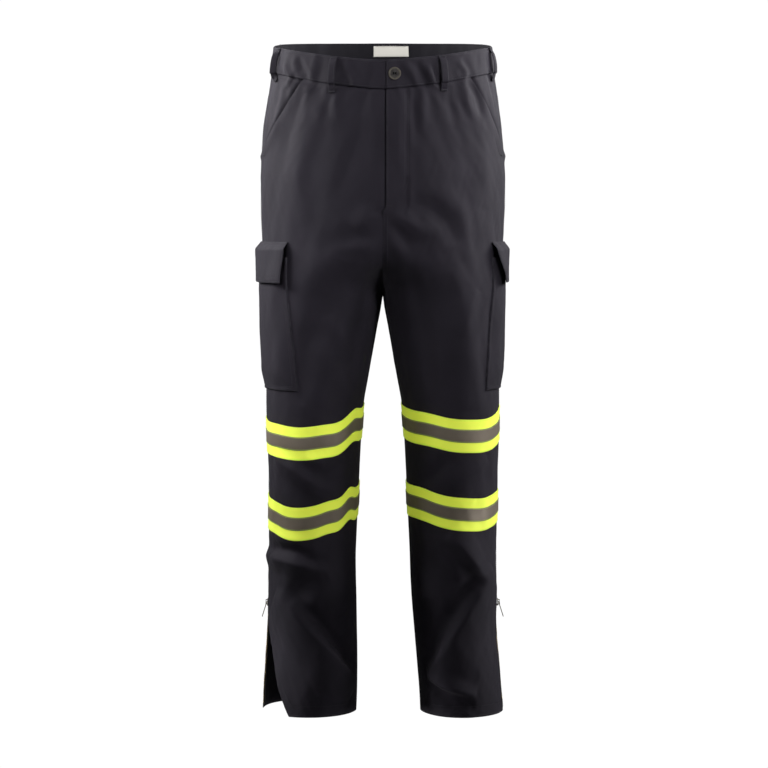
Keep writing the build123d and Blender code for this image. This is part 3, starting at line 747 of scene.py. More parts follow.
for side in SIDES:
    for place_name in ("upper", "lower"):
        tape = ring("lime", side, place_name, TAPE_WIDTH, 1.1, 0.7, lime)
        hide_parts(f"{place_name}_tape_{side}")
        strip = ring("reflector", side, place_name, SILVER_WIDTH, 1.75, 0.5, silver)
        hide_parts(f"{place_name}_silver_{side}")


# ------------------------------------------------------------------ stitching
STITCH = {}                 # group name: list of the points of its stitches, ten a stitch
TACK_PITCH, TACK_WIDTH = 0.55, 1.8


def add_stitches(group, points, normals, pitch=3.0, length=2.3, radius=0.3):
    """Dashes of thread along a line of points, in metres, with the cloth's normals there."""
    points, normals = np.asarray(points), np.asarray(normals)
    step = np.linalg.norm(np.diff(points, axis=0), axis=1)
    at = np.concatenate([[0], np.cumsum(step)]) / MM
    centre = np.arange(pitch / 2, at[-1] - length / 2, pitch)
    if len(centre) == 0:
        return

    def sample(values, where):
        return np.stack([np.interp(where, at, values[:, i]) for i in range(3)], axis=1)
    head, foot = sample(points, centre - length / 2), sample(points, centre + length / 2)
    n = unit(sample(normals, centre))
    w = unit(np.cross(n, foot - head))
    sink = n * (-0.15 * radius * MM)
    rings = [head + sink]
    for share in (0.25, 0.75):
        middle = head + (foot - head) * share + n * (0.25 * radius * MM)
        for wn, nn in ((1, 0), (0, 1), (-1, 0), (0, -1)):
            rings.append(middle + (w * wn + n * nn * 0.8) * radius * MM)
    rings.append(foot + sink)
    STITCH.setdefault(group, []).append(np.stack(rings, axis=1))


def stitch_faces():
    """Faces of one stitch: points 0 and 9 at its ends, and two rings of four between them."""
    faces = []
    for i in range(4):
        j = (i + 1) % 4
        faces += [(0, 1 + j, 1 + i), (1 + i, 1 + j, 5 + j, 5 + i), (5 + i, 5 + j, 9)]
    return faces


def build_stitching():
    """One object for each group of stitches."""
    pieces = {}
    for group, sets in STITCH.items():
        stitches = np.concatenate(sets)
        faces = [tuple(k + 10 * i for k in f) for i in range(len(stitches)) for f in stitch_faces()]
        pieces[group] = new_object(f"stitching_{group}", stitches.reshape(-1, 3), faces, thread)
    return pieces


def stitch_along(group, side, z, theta, off, outwards=1.0, **options):
    """Stitches along a line over the cloth. They lie on its inner side if outwards is negative."""
    lift = folds(side, z, theta) + off
    base = place(side, z, theta, lift)
    add_stitches(group, base, place(side, z, theta, lift + outwards) - base, **options)


def sew(side, z, s, off):
    """A row of stitches on a leg along a line given by heights and distances from the side seam."""
    z, s = np.broadcast_arrays(np.asarray(z, float), np.asarray(s, float))
    t, fine = np.linspace(0, 1, len(z)), np.linspace(0, 1, 160)
    z, s = np.interp(fine, t, z), np.interp(fine, t, s)
    stitch_along(f"leg_{side}", side, z, theta_of(z, s), off)


def sew_x(side, points, off, back=False):
    """A row of stitches along points given as (x, z), on the front or the back."""
    x, z = np.asarray(points, float).T
    sew(side, z, s_at_x(z, x, back), off)


def upright(x, top, low, count):
    """Points (x, z) down an upright line."""
    return np.stack([np.full(count, x), np.linspace(top, low, count)], 1)


def bar_tack(side, x, z, off, length, back=False):
    """A short level bar of dense upright stitches about (x, z)."""
    s = float(s_at_x(np.array(z), x, back))
    zs = np.array([z - TACK_WIDTH / 2, z + TACK_WIDTH / 2])
    for i in range(int(length / TACK_PITCH) + 1):
        theta = theta_of(zs, np.full(2, s + i * TACK_PITCH - length / 2))
        stitch_along(f"leg_{side}", side, zs, theta, off + 0.1, pitch=TACK_WIDTH, length=TACK_WIDTH * 0.98)


def button_threads(button):
    """Two upright bars of thread through the button's four holes, on the floor of its tilted dish."""
    low, high = box_of(button)
    middle, tilt, hole = (low + high) / 2, 0.12, 1.63
    for across in (-hole, hole):
        x, y = middle[0] + across * MM, low[1] + (1.0 - tilt * across) * MM
        points = [(x, y, middle[2] + h * MM) for h in (-2.9, 2.9)]
        add_stitches("button", points, [(-tilt, -1, 0)] * 2, pitch=5.8, length=5.4, radius=0.85)


# ------------------------------------------------------------------ waistband
BAND_ROWS = np.array([0, 0.5, 1.2, 2.0, 2.5, 3.0, 4.0, 7, 11, 15, 19, 23, 27, 31, 35, 38,
                      39.4, 40, 40.6, 41.5, 42.1, 42.5])
BAND_RADIUS = 165.0
BACK_MIDDLE = float(theta_at_x(np.array(-10.0), 0.0))


def band_profile(h):
    """How far the band's face stands back near its edges and its two rows of stitching."""
    edge = np.minimum(h, BAND_HEIGHT - h)
    rows = sum(bell(h - row, 0.7) for row in BAND_STITCH)
    return -0.75 * bell(edge, 0.8) - 0.22 * rows


def front_end(side):
    """Angle at which one half of the waistband ends at the front."""
    return float(-theta_at_x(np.array(-45.0), BAND_LAP[side]))


def end_lift(side, from_end):
    """How far the left end stands out over the right one."""
    return 2.1 * bell(from_end, 14) if side == "left" else 0 * from_end


def round_waist(side, theta):
    """Distance of angles from the front end of one half of the waistband."""
    return (theta - front_end(side)) * math.radians(1) * BAND_RADIUS


def band_grid(first, last, columns, rows):
    """Grids of angles from first to last, of distances down the band, and of heights."""
    theta, h = np.broadcast_arrays(np.linspace(first, last, columns)[None, :], np.asarray(rows)[:, None])
    return theta, h, waist_z(theta, h)


def waistband(side):
    """One half of the waistband, with its stitching."""
    theta, h, z = band_grid(front_end(side), BACK_MIDDLE, 230, BAND_ROWS)
    from_end = round_waist(side, theta)
    sink = 0.3 * bell(from_end, 10) if side == "right" else 0
    rounding = 0.7 * bell(from_end, 0.9)
    profile = band_profile(h)
    off = BAND_OFF + profile + end_lift(side, from_end) - sink - rounding
    thick = BAND_THICK + 0.8 * profile - 1.3 * rounding
    layer(f"waistband_cloth_{side}", side, z, theta, off, thick, held="stretched",
          rests=[f"front_{side}", f"back_{side}"], flat=BAND_OFF, nodes=[f"waistband_{side}"],
          flip=SIDES[side] > 0, cloth=np.stack([-h, s_of(z, theta)], -1),
          wear=0.6 * bell(h, 1.2) + 0.35 * bell(from_end, 1.5))
    line = np.linspace(front_end(side) + 0.8, BACK_MIDDLE, 400)
    for row in BAND_STITCH:
        off = BAND_OFF - 0.15 + end_lift(side, round_waist(side, line))
        stitch_along("trousers", side, waist_z(line, row), line, off)
    if side == "left":
        line = np.full(60, front_end(side) + 0.75)
        stitch_along("trousers", side, waist_z(line, np.linspace(3, 39.6, 60)), line, BAND_OFF + 1.85)


def waist_facing(rows=(0.9, 41.6), off=-0.5, thick=1.3):
    """The lining inside the whole waistband, joined at the middle of the back."""
    halves = []
    for side, start in (("left", front_end("left")), ("right", front_end("right") + 4.0)):
        theta, _, z = band_grid(start, BACK_MIDDLE, 170, np.linspace(*rows, 15))
        lift = folds(side, z, theta) + off
        faces = [place(side, z, theta, at) for at in (lift, lift - thick, off + 0 * z)]
        halves.append(faces + [np.stack([SIDES[side] * s_of(z, theta), z], -1)])
    outer, inner, flat, cloth = (np.concatenate([left, right[:, -2::-1]], axis=1)
                                 for left, right in zip(*halves))
    obj = cloth_grid("waist_facing", outer, inner, lining, flip=True, cloth=cloth)
    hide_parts("waistband_facing")
    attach(obj, "trousers")


def inside_band(name, angles, rows, off, thick, columns, **options):
    """A layer on the lining, in the left half of the waistband."""
    theta, _, z = band_grid(*angles, columns, np.linspace(*rows, 15))
    layer(name, "left", z, theta, off, thick, held="stretched", rests=["waist_facing"], flip=True, **options)


for side in SIDES:
    waistband(side)
waist_facing()
inside_band("waist_tab", (-95.0, -75.2), (1.5, 41.0), -2.6, 1.4, 40, nodes=["waist_underlap"])
inside_band("waist_size_label", (95.0, 75.6), (4.5, 21.5), -2.2, 0.7, 60, mat=label_cloth, slot="label",
            nodes=["waist_label"])
for h_line in (5.3, 20.7):
    line = np.linspace(94.5, 76.1, 120)
    stitch_along("trousers", "left", waist_z(line, h_line), line, -2.9, outwards=-1.0,
                 pitch=1.6, length=1.2, radius=0.22)


# ------------------------------------------------------------------ belt loops
LOOP_PATH = np.array([      # distance down the band, and off it
    (0.3, 1.0), (3.4, 1.1), (6.4, 2.6), (10.0, 4.4), (16, 5.4), (24, 5.7),
    (34, 5.5), (43, 4.7), (49.0, 3.2), (52.4, 1.4), (56.0, 1.0)])
LOOP_WIDTH, LOOP_THICK = 11.0, 1.7
LOOP_COLUMNS = np.array([-1, -0.94, -0.84, -0.74, -0.64, -0.5, -0.25, 0,
                         0.25, 0.5, 0.64, 0.74, 0.84, 0.94, 1]) * LOOP_WIDTH / 2


def smooth_line(points, rounds=3):
    """Cuts a line's corners, keeping its ends."""
    for _ in range(rounds):
        a, b = points[:-1], points[1:]
        cut = np.stack([0.75 * a + 0.25 * b, 0.25 * a + 0.75 * b], axis=1).reshape(-1, points.shape[1])
        points = np.concatenate([points[:1], cut[1:-1], points[-1:]])
    return points


def turned(vectors, angles):
    """Vectors turned about the upright axis."""
    c, k = np.cos(angles), np.sin(angles)
    x, y, z = vectors.T
    return np.stack([c * x - k * y, k * x + c * y, z], axis=1)


def loop_axes(side, theta, twist):
    """A strap's middle line, the directions out of it and across it, and distances down the band."""
    h, stand = smooth_line(LOOP_PATH).T
    th = np.full(h.shape, theta)
    z = waist_z(th, h)
    ground = BAND_OFF * ease((BAND_HEIGHT + 1.5 - h) / 3) + folds(side, z, th)
    base = place(side, z, th, ground)
    normal = unit(place(side, z, th, ground + 1) - base)
    turn = math.radians(twist) * -SIDES[side] * ease((h - 2) / 9) * ease((54 - h) / 9)
    across = turned(unit((place(side, z, th + 1.0, ground) - base) * (1, 1, 0)), turn)
    centre = base + normal * stand[:, None] * MM
    out = unit(np.cross(across, np.gradient(centre, axis=0)))
    out *= np.sign((out * turned(normal, turn)).sum(axis=1))[:, None]
    return centre, out, across, h


def belt_loop(name, side, theta, twist):
    """One strap, with two rows of stitching down it and a bar across each end."""
    centre, out, across, h = loop_axes(side, theta, twist)
    x = LOOP_COLUMNS
    edge = LOOP_WIDTH / 2 - np.abs(x)
    half = LOOP_THICK / 2 * (1 - 0.55 * bell(edge, 0.5)) - 0.14 * bell(edge - 1.7, 0.5)
    mid = centre[:, None, :] + across[:, None, :] * x[None, :, None] * MM
    push = out[:, None, :] * half[None, :, None] * MM
    cloth = np.stack(np.broadcast_arrays(x[None, :], h[:, None]), -1)
    obj = cloth_grid(name, mid + push, mid - push, twill, flip=SIDES[side] > 0, cloth=cloth,
                     wear=0.5 * bell(edge, 0.8))
    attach(obj, "trousers")
    for x in (-3.8, 3.8):
        add_stitches("trousers", centre + across * x * MM + out * 0.72 * MM, out, pitch=2.6, length=2.0)
    for at in (2.2, 54.4):
        i = int(np.argmin(np.abs(h - at)))
        up = np.cross(across[i], out[i]) * TACK_WIDTH / 2 * MM
        for x in np.arange(-4.6, 4.61, TACK_PITCH):
            p = centre[i] + across[i] * x * MM + out[i] * 0.85 * MM
            add_stitches("trousers", [p - up, p + up], [out[i], out[i]], pitch=1.8, length=1.76)
    return obj


def front_angle(x):
    """Angle of a point of the front of the waist, given by x."""
    return -float(theta_at_x(np.array(-20.0), x))


LOOPS = {       # side, angle and twist of each strap, both in degrees
    "front": [("left", front_angle(88), 0), ("right", front_angle(72), 0)],
    "side": [("left", -15.0, 0), ("right", -21.0, 42)],
    "back": [("left", 26.0, 0), ("right", 22.0, 0), ("left", 90.0, 0)]}
for place_name, straps in LOOPS.items():
    for i, (side, theta, twist) in enumerate(straps):
        strap = belt_loop(f"belt_loop_{place_name}_{i + 1}", side, theta, twist)
        if i == 0:
            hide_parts(f"belt_loops_{place_name}")


# ------------------------------------------------------------------ fly
def fly_layer(name, node, x_low, x_high, z_low, off, taper, cols):
    """A layer behind the left front, between two x's, narrower at its foot."""
    z = np.linspace(-58.0, z_low, 70)[:, None]
    t = np.linspace(0, 1, cols)
    z, x = np.broadcast_arrays(z, (x_high - taper * ease((z_low + 50 - z) / 50)) * (1 - t) + x_low * t)
    layer(name, "left", z, -theta_at_x(z, x), off, 1.2, rests=["waistband_cloth_left"], nodes=[node],
          flip=True, cloth=np.stack([x, z], -1))


def fly_curve(inset):
    """The J of stitching beside the fly, as x and z."""
    foot, bend_z, bend_height = 7.0, -196, 40.0
    straight = [(FLY_STITCH - inset, z) for z in np.linspace(-68, bend_z, 30)]
    radius_x, radius_z = FLY_STITCH - inset - foot, bend_height - inset
    bend = [(foot + radius_x * math.cos(turn), bend_z - radius_z * math.sin(turn))
            for turn in np.linspace(0, math.pi / 2, 22)[1:]]
    return np.array(straight + bend)


fly_layer("fly_facing_cloth", "fly_facing", 7.0, FLY_STITCH + 1, FLY_BOTTOM + 4, -1.8, 14.0, 24)
fly_layer("fly_shield_cloth", "fly_shield", -12.0, 42.0, FLY_BOTTOM + 2, -17.6, 16.0, 30)
for inset in (0.0, 5.5):
    sew_x("left", fly_curve(inset), 0.35)
bar_tack("left", 9.0, -238.0, 1.1, 8.0)
for inset in MIDDLE_ROWS:
    sew_x("left", upright(inset, FLY_BOTTOM - 6, CROTCH_Z + 22, 50), 0.1)
for inset in MIDDLE_ROWS:
    sew_x("right", upright(inset, -66, CROTCH_Z + 24, 100), 0.1, back=True)


# ------------------------------------------------------------------ hand pockets
def pocket_facing(side):
    """The cloth seen behind the slanting edge."""
    z0, t = np.linspace(-60, -176, 60)[:, None], np.linspace(0, 1, 40)[None, :]
    edge = pocket_edge(side, z0)
    theta = -(np.minimum(edge + 11.0, 88.0) * (1 - t) + 0.06 * t)
    z = under_band(z0, theta)
    beyond = s_of(z, edge + 0 * t) - np.abs(s_of(z, theta))
    off = -0.5 - 4.6 * bell(np.maximum(beyond, 0), 6.5) - 1.6 * ease((z0 + 72) / 8)
    layer(f"pocket_facing_cloth_{side}", side, z, theta, off, 1.2, rests=[f"waistband_cloth_{side}"],
          nodes=[f"pocket_facing_{side}"])


def pocket_bag(side):
    """The lining bag behind the front, fuller in its middle."""
    z0, t = np.linspace(-62, -290, 70)[:, None], np.linspace(0, 1, 40)[None, :]
    near, far = theta_at_x(z0, 54.0), theta_of(z0, np.full(z0.shape, 10.0))
    theta = -(near * (1 - t) + far * t)
    rim = np.minimum(np.minimum(t * 110, (1 - t) * 110), z0 + 290)
    belly = 2.0 * ease(rim / 12)
    layer(f"pocket_bag_cloth_{side}", side, under_band(z0, theta), theta, -5.0 + belly * 0.6,
          1.0 + belly * 1.6, mat=lining, slot="lining", rests=[f"pocket_facing_cloth_{side}"], flat=-5.0,
          nodes=[f"pocket_bag_{side}"])


def slant_stitching(side):
    """Two rows beside the slanting edge, and a bar at each of its ends."""
    z = np.linspace(SLANT_TOP - 12, SLANT_LOW + 2, 60)
    for inset, off in ((2.2, 1.5), (8.0, 1.25)):
        sew_x(side, np.stack([slant_x(side, z) - inset, z], 1), off)
    for z_end in (-160.0, -74.0):
        bar_tack(side, slant_x(side, z_end) - 4, z_end, 1.5, 9.0)


for side in SIDES:
    pocket_facing(side)
    slant_stitching(side)
    pocket_bag(side)


# ------------------------------------------------------------------ back pockets
def back_pocket(side):
    """A patch pocket with cut-off lower corners and a hemmed mouth."""
    (x_in, x_out), (top, low) = BACK_X, BACK_Z
    z = np.concatenate([np.linspace(top, top - 3, 4), np.linspace(top - 6, low + 3, 50),
                        np.linspace(low + 2, low, 4)])[:, None]
    cut = 12.0 * np.clip((low + 12 - z) / 12, 0, 1)
    t = spread(56, 0.4)[None, :]
    x = (x_in + cut) * (1 - t) + (x_out - cut) * t
    edge = np.minimum(np.minimum(x - x_in - cut, x_out - cut - x), z - low)
    z = z + 0 * x
    mouth = top - z
    sag = 1.6 * bell(mouth, 24) * np.sin(np.pi * np.clip(t, 0, 1)) ** 0.8
    off = 1.8 + sag - 0.7 * bell(edge, 1.0) - 0.2 * bell(edge - 2, 0.7)
    layer(f"back_pocket_cloth_{side}", side, z, theta_at_x(z, x), off, 1.3, held="stretched",
          rests=[f"back_{side}"], flat=1.8, nodes=[f"back_pocket_{side}"],
          wear=0.6 * bell(np.minimum(edge, mouth), 1.3))
    for inset in MIDDLE_ROWS:
        x0, x1, z0, corner = x_in + inset, x_out - inset, low + inset, 12 - inset * 0.4
        outline = [(x0, top - 2), (x0, z0 + corner), (x0 + corner, z0), (x1 - corner, z0), (x1, z0 + corner),
                   (x1, top - 2)]
        for a, b in zip(outline, outline[1:]):
            sew_x(side, np.linspace(a, b, 30), 1.75, back=True)
    sew_x(side, np.linspace((x_in + 2, top - 22), (x_out - 2, top - 22), 40), 2.35, back=True)
    for x in (x_in + 5, x_out - 5):
        bar_tack(side, x, top - 4, 2.0, 8.0, back=True)


# ------------------------------------------------------------------ thigh pockets
def fine_ends(low, high, reach, dense, coarse):
    """Positions from low to high, dense within reach of each end."""
    ends = np.arange(0, reach, dense)
    middle = np.linspace(low + reach, high - reach, max(2, int((high - low) / coarse)))
    return np.concatenate([low + ends, middle, (high - ends)[::-1]])


def pocket_lean(side, z, s):
    """How far in the pocket's front edge has come by each height, fading towards its back edge."""
    start, end = POCKET_SPAN[side]
    across = np.clip((s - start) / (end - start), 0, 1)
    return POCKET_LEAN[side] * (POCKET_TOP + 40 - z) / 200 * (1 - across) ** 2


def pocket_face(edge):
    """How far the pocket's face stands off the leg at a distance from its edge."""
    return 0.35 + (POCKET_DEPTH - 1.6) * (0.34 * ease(edge / 1.6) + 0.66 * ease(edge / 34))


def cargo_pocket(side):
    """The bellows pocket on the thigh, with its stitching."""
    start, end = POCKET_SPAN[side]
    z = np.concatenate([np.linspace(POCKET_TOP, POCKET_TOP - 4, 5),
                        np.linspace(POCKET_TOP - 7, POCKET_BOTTOM + 6, 64),
                        np.arange(POCKET_BOTTOM + 5.0, POCKET_BOTTOM - 0.01, -0.45)])[:, None]
    z, s = np.broadcast_arrays(z, fine_ends(start, end, 5.0, 0.45, 3.2)[None, :])
    edge = np.minimum(np.minimum(s - start, end - s), z - POCKET_BOTTOM)
    across = np.clip((s - start) / (end - start), 0, 1)
    sag = np.sin(np.pi * across) * ease(edge / 30) + 0.35 * np.sin(s / 17 + z / 40) * ease(edge / 40)
    off = pocket_face(edge) + sag - 0.3 * bell(edge - 5.8, 0.8) - 0.3 * bell(edge - 2.0, 0.6)
    layer(f"thigh_pocket_{side}", side, z, theta_of(z, s - pocket_lean(side, z, s)), off,
          np.minimum(1.2, off - 0.05), held="stretched", rests=[f"front_{side}", f"back_{side}"],
          nodes=[f"cargo_pocket_{side}"], cloth=np.stack([s, z], -1),
          wear=0.75 * bell(edge, 1.6) + 0.5 * bell(POCKET_TOP - z, 1.5))
    for inset in SEAM_ROWS:
        first, last, top, low = start + inset, end - inset, POCKET_TOP - 2, POCKET_BOTTOM + inset
        path = [(first, top), (first, low), (last, low), (last, top)]
        for (s0, z0), (s1, z1) in zip(path, path[1:]):
            z, s = np.linspace(z0, z1, 20), np.linspace(s0, s1, 20)
            sew(side, z, s - pocket_lean(side, z, s), float(pocket_face(inset)))
    sew(side, np.full(30, POCKET_TOP - 16), np.linspace(start + 36, end - 36, 30), POCKET_DEPTH - 0.3)


def flap_off(side, h, s):
    """Offset of the flap's inner face: sewn down at the top, then standing off over the pocket."""
    start, end = POCKET_SPAN[side]
    corner = bell(s - start + FLAP_OVERHANG, 26) + 0.5 * bell(end + FLAP_OVERHANG - s, 20)
    lifted = FLAP_CORNER[side] * corner * ease((h - 10) / 52)
    return 0.5 + 8.2 * ease(h / 13) ** 0.8 + 0.035 * h + lifted


def flap_span(side, h):
    """The flap's front and back edges: the front one runs back as it hangs."""
    start, end = POCKET_SPAN[side]
    return (start - FLAP_OVERHANG + FLAP_RUN_BACK[side] * ease(h / 70) ** 1.2,
            end + FLAP_OVERHANG - 2.0 * ease(h / 60))


def flap_grid(side, h, s, extra):
    """Points of the flap, extra beyond its inner face."""
    z = FLAP_TOP - h
    theta = theta_of(z, s)
    return place(side, z, theta, flap_off(side, h, s) + extra + folds(side, z, theta))


def cargo_flap(side):
    """The flap over the thigh pocket, with its stitching."""
    length = POCKET_SPAN[side][1] - POCKET_SPAN[side][0] + 2 * FLAP_OVERHANG
    h = np.concatenate([np.arange(0, 3, 0.5), np.linspace(3.5, FLAP_HEIGHT - 3, 34),
                        np.arange(FLAP_HEIGHT - 2.5, FLAP_HEIGHT + 0.01, 0.5)])[:, None]
    h, t = np.broadcast_arrays(h, fine_ends(0.0, length, 3.0, 0.5, 3.2)[None, :])
    share = t / length
    first, last = flap_span(side, h)
    s = first * (1 - share) + last * share
    h_wavy = h * (1 + 0.006 * np.sin(share * 9) + 0.004 * np.sin(share * 23 + 1))
    edge = np.minimum(np.minimum(t, length - t), FLAP_HEIGHT - h)
    rounding = 0.8 * bell(np.minimum(edge, h + 0.6), 0.9)
    groove = 0.22 * bell(edge - 2.2, 0.7) + 0.22 * bell(edge - 8.0, 0.7)
    outer = flap_grid(side, h_wavy, s, 2.1 - rounding - groove)
    inner = flap_grid(side, h_wavy, s, rounding * 0.4)
    obj = cloth_grid(f"pocket_flap_{side}", outer, inner, twill, flip=SIDES[side] < 0,
                     cloth=np.stack([s, FLAP_TOP - h], -1), wear=0.8 * bell(edge, 1.4) + 0.3 * bell(h - 9, 4))
    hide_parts(f"cargo_flap_{side}", f"cargo_flap_seam_{side}")
    flap_stitching(side)
    return obj


def flap_stitching(side):
    """Two rows round the flap's free edges, and two along its top."""
    def run(s, h):
        z = FLAP_TOP - h
        stitch_along(f"flap_{side}", side, z, theta_of(z, s), flap_off(side, h, s) + 1.98)
    for inset in (2.2, 8.0):
        down = np.linspace(2, FLAP_HEIGHT - inset, 60)
        first, last = flap_span(side, down)
        run(first + inset, down)
        run(last - inset, down)
        run(np.linspace(first[-1] + inset, last[-1] - inset, 120), np.full(120, FLAP_HEIGHT - inset))
    for h in (1.8, 5.6):
        first, last = flap_span(side, h)
        run(np.linspace(first + 2, last - 2, 120), np.full(120, h))


def closure_tape(side):
    """The loop strip on the pocket and the hook strip under its flap."""
    middle = sum(POCKET_SPAN[side]) / 2
    h, s = np.broadcast_arrays(np.linspace(34, 54, 11)[:, None],
                               np.linspace(middle - 57, middle + 57, 60)[None, :])
    z = FLAP_TOP - h
    theta = theta_of(z, s)
    options = {"mat": pile, "slot": "hook_and_loop", "held": "stretched", "cloth": np.stack([s, z], -1),
               "flat": folds(side, z, theta) + POCKET_DEPTH + 0.2}
    layer(f"loop_strip_{side}", side, z, theta, POCKET_DEPTH + 0.9, 1.3, rests=[f"thigh_pocket_{side}"],
          nodes=[f"cargo_loop_tape_{side}"], **options)
    layer(f"hook_strip_{side}", side, z, theta, flap_off(side, h, s) + 0.15, 0.9,
          rests=[f"pocket_flap_{side}"], nodes=[f"cargo_hook_tape_{side}"],
          body=f"cargo_flap_{side}", **options)


# ------------------------------------------------------------------ zips
def tooth_mesh():
    """One zip tooth, in mm: a bevelled block with a narrower head, across, along and out of the zip."""
    bm = bmesh.new()
    bmesh.ops.create_cube(bm, size=1.0)
    bmesh.ops.scale(bm, vec=(2.4, 1.25, 2.0), verts=bm.verts)
    head = [v for v in bm.verts if v.co.x < 0]
    bmesh.ops.scale(bm, vec=(1, 0.72, 0.8), verts=head)
    bmesh.ops.bevel(bm, geom=list(bm.edges), offset=0.22, segments=1, affect="EDGES")
    verts = np.array([v.co[:] for v in bm.verts])
    faces = [[v.index for v in f.verts] for f in bm.faces]
    bm.free()
    return verts, faces


def teeth(name, rows):
    """Rows of teeth: each row is (points, normals, across directions pointing away from the zip's line)."""
    verts, faces = tooth_mesh()
    all_verts, all_faces = [], []
    for points, normals, across in rows:
        for p, n, x in zip(points, unit(normals), across):
            x = unit(x - n * (x @ n))
            base = len(all_verts) * len(verts)
            all_verts.append(verts @ np.stack([x, np.cross(n, x), n]) * MM + p)
            all_faces += [[i + base for i in f] for f in faces]
    obj = new_object(name, np.concatenate(all_verts), all_faces, brass)
    obj.data.set_sharp_from_angle(angle=math.radians(30))
    return obj


def vent_line(side, z, distance):
    """Angle of a line that runs distance in front of the hem zip, and leans with the vent's front edge."""
    _, _, _, b = ellipse(z)
    lean = vent_lean(side, z) * (np.asarray(distance) > 0)
    return -np.degrees(np.arcsin(np.clip((distance + lean) / b, -1, 1)))


def leg_zip_row(side, sign, behind):
    """Points, normals and outward directions of one row of teeth."""
    z = np.arange(VENT_TOP - 5, HEM_Z + 6, -TOOTH_PITCH) - (TOOTH_PITCH / 2 if sign > 0 else 0)
    theta, outside = (vent_line(side, z, sign * distance + behind) for distance in (2.2, 3.2))
    off = folds(side, z, theta) + ZIP_DEPTH - 0.4 * behind
    points = place(side, z, theta, off)
    return points, place(side, z, theta, off + 1) - points, place(side, z, outside, off) - points


def leg_zip(side):
    """The rows of teeth and the tapes of one hem zip, and the stitching beside the vent."""
    rows = []
    for sign, where in ((-1, "back"), (1, "front")):
        behind = 5.0 if (side, where) == ("right", "front") else 0.0        # behind the vent's folded edge
        rows.append(leg_zip_row(side, sign, behind))
        z, reach = np.broadcast_arrays(np.linspace(VENT_TOP - 2, HEM_Z + 4, 60)[:, None],
                                       np.linspace(3.4, 15.0, 10)[None, :])
        layer(f"leg_zip_tape_{where}_{side}", side, z, vent_line(side, z, sign * reach + behind),
              -1.45 - 0.4 * behind, 0.7, mat=zip_tape, slot="zip_tape", held="stretched",
              rests=[f"{where}_{side}"], flat=ZIP_DEPTH, nodes=[f"leg_zip_tapes_{side}"] if sign < 0 else (),
              body=f"shin_{side}", flip=(SIDES[side] > 0) == (sign > 0), cloth=np.stack([reach, z], -1))
    obj = teeth(f"leg_zip_row_{side}", rows)
    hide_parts(f"leg_zip_teeth_{side}")
    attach(obj, f"shin_{side}")
    z = np.linspace(VENT_TOP + 2, HEM_Z + 2, 80)
    for sign in (-1, 1):
        for inset in (1.4, 8.0):
            stitch_along(f"shin_{side}", side, z, vent_line(side, z, sign * (VENT_HALF + inset)), 0.05)


def fly_zip():
    """The straight zip behind the fly: two rows of teeth and two tapes."""
    length = float(np.linalg.norm(FLY_FOOT - FLY_TOP))
    down, across = unit(FLY_FOOT - FLY_TOP), np.array((1.0, 0, 0))
    normal = np.cross(down, across)
    normal *= -np.sign(normal[1])
    rows = []
    for sign, where, under in ((-1, "right", "fly_shield_cloth"), (1, "left", "fly_facing_cloth")):
        along_zip = np.arange(-5, length + 6, TOOTH_PITCH) + (TOOTH_PITCH / 2 if sign > 0 else 0)
        points = (FLY_TOP + down * along_zip[:, None] + across * sign * 1.9) * MM
        rows.append((points, normal + 0 * points, across * sign + 0 * points))
        t, w = np.meshgrid(np.linspace(-8, length + 8, 40), np.linspace(3.3, 14.5, 8), indexing="ij")
        mid = FLY_TOP + down * t[..., None] + across * sign * w[..., None]
        half = normal * 0.35
        obj = cloth_grid(f"fly_zip_tape_{where}", (mid + half) * MM, (mid - half) * MM, zip_tape,
                         flip=sign < 0, cloth=np.stack([w, t], -1))
        if sign > 0:
            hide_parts("fly_zip_tapes")
        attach(obj, "trousers")
    obj = teeth("fly_zip_rows", rows)
    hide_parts("fly_zip_teeth")
    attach(obj, "trousers")


for side in SIDES:
    back_pocket(side)
    cargo_pocket(side)
    closure_tape(side)
    leg_zip(side)
fly_zip()
flaps = [(side, cargo_flap(side)) for side in SIDES]


# ------------------------------------------------------------------ seams and hems
TAPE_EDGE, SILVER_EDGE = TAPE_WIDTH / 2 - 1.6, SILVER_WIDTH / 2 - 1.3
TAPE_SEWING = ((TAPE_EDGE, 1.15), (SILVER_EDGE, 1.85), (-SILVER_EDGE, 1.85), (-TAPE_EDGE, 1.15))
for side in SIDES:
    for s_line in SEAM_ROWS:
        sew(side, np.linspace(-68, FLAP_TOP + 2, 100), s_line, 0.05)
        sew(side, np.linspace(POCKET_BOTTOM - 3, VENT_TOP + 4, 150), s_line, 0.05)
    theta = np.linspace(-178, 178, 420)
    z = np.full(theta.shape, HEM_Z + HEM_TURN)
    front_edge, back_edge = (vent_line(side, z, at) for at in (VENT_HALF + 1, -VENT_HALF - 1))
    in_vent = ((theta > front_edge) & (theta < back_edge)).nonzero()[0]
    for part in (slice(None, in_vent[0]), slice(in_vent[-1] + 1, None)):
        stitch_along(f"shin_{side}", side, z[part], theta[part], 0.0)
    for place_name in ("upper", "lower"):
        for height, off in TAPE_SEWING:
            stitch_along(f"tape_{side}", side, tape_height(side, place_name, theta) + height, theta, off)

button_threads(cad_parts["waist_button"])
for group, obj in build_stitching().items():
    kind, _, side = group.partition("_")
    if kind in ("tape", "button"):
        obj.data.materials[0] = lime_thread if kind == "tape" else shaded_button_thread
    if kind in ("trousers", "button"):
        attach(obj, "trousers")
    elif kind in ("leg", "tape"):
        bend_at_knee(obj)
    elif kind == "shin":
        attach(obj, f"shin_{side}")
    else:
        flaps.append((side, obj))
for side, obj in flaps:
    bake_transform(obj)


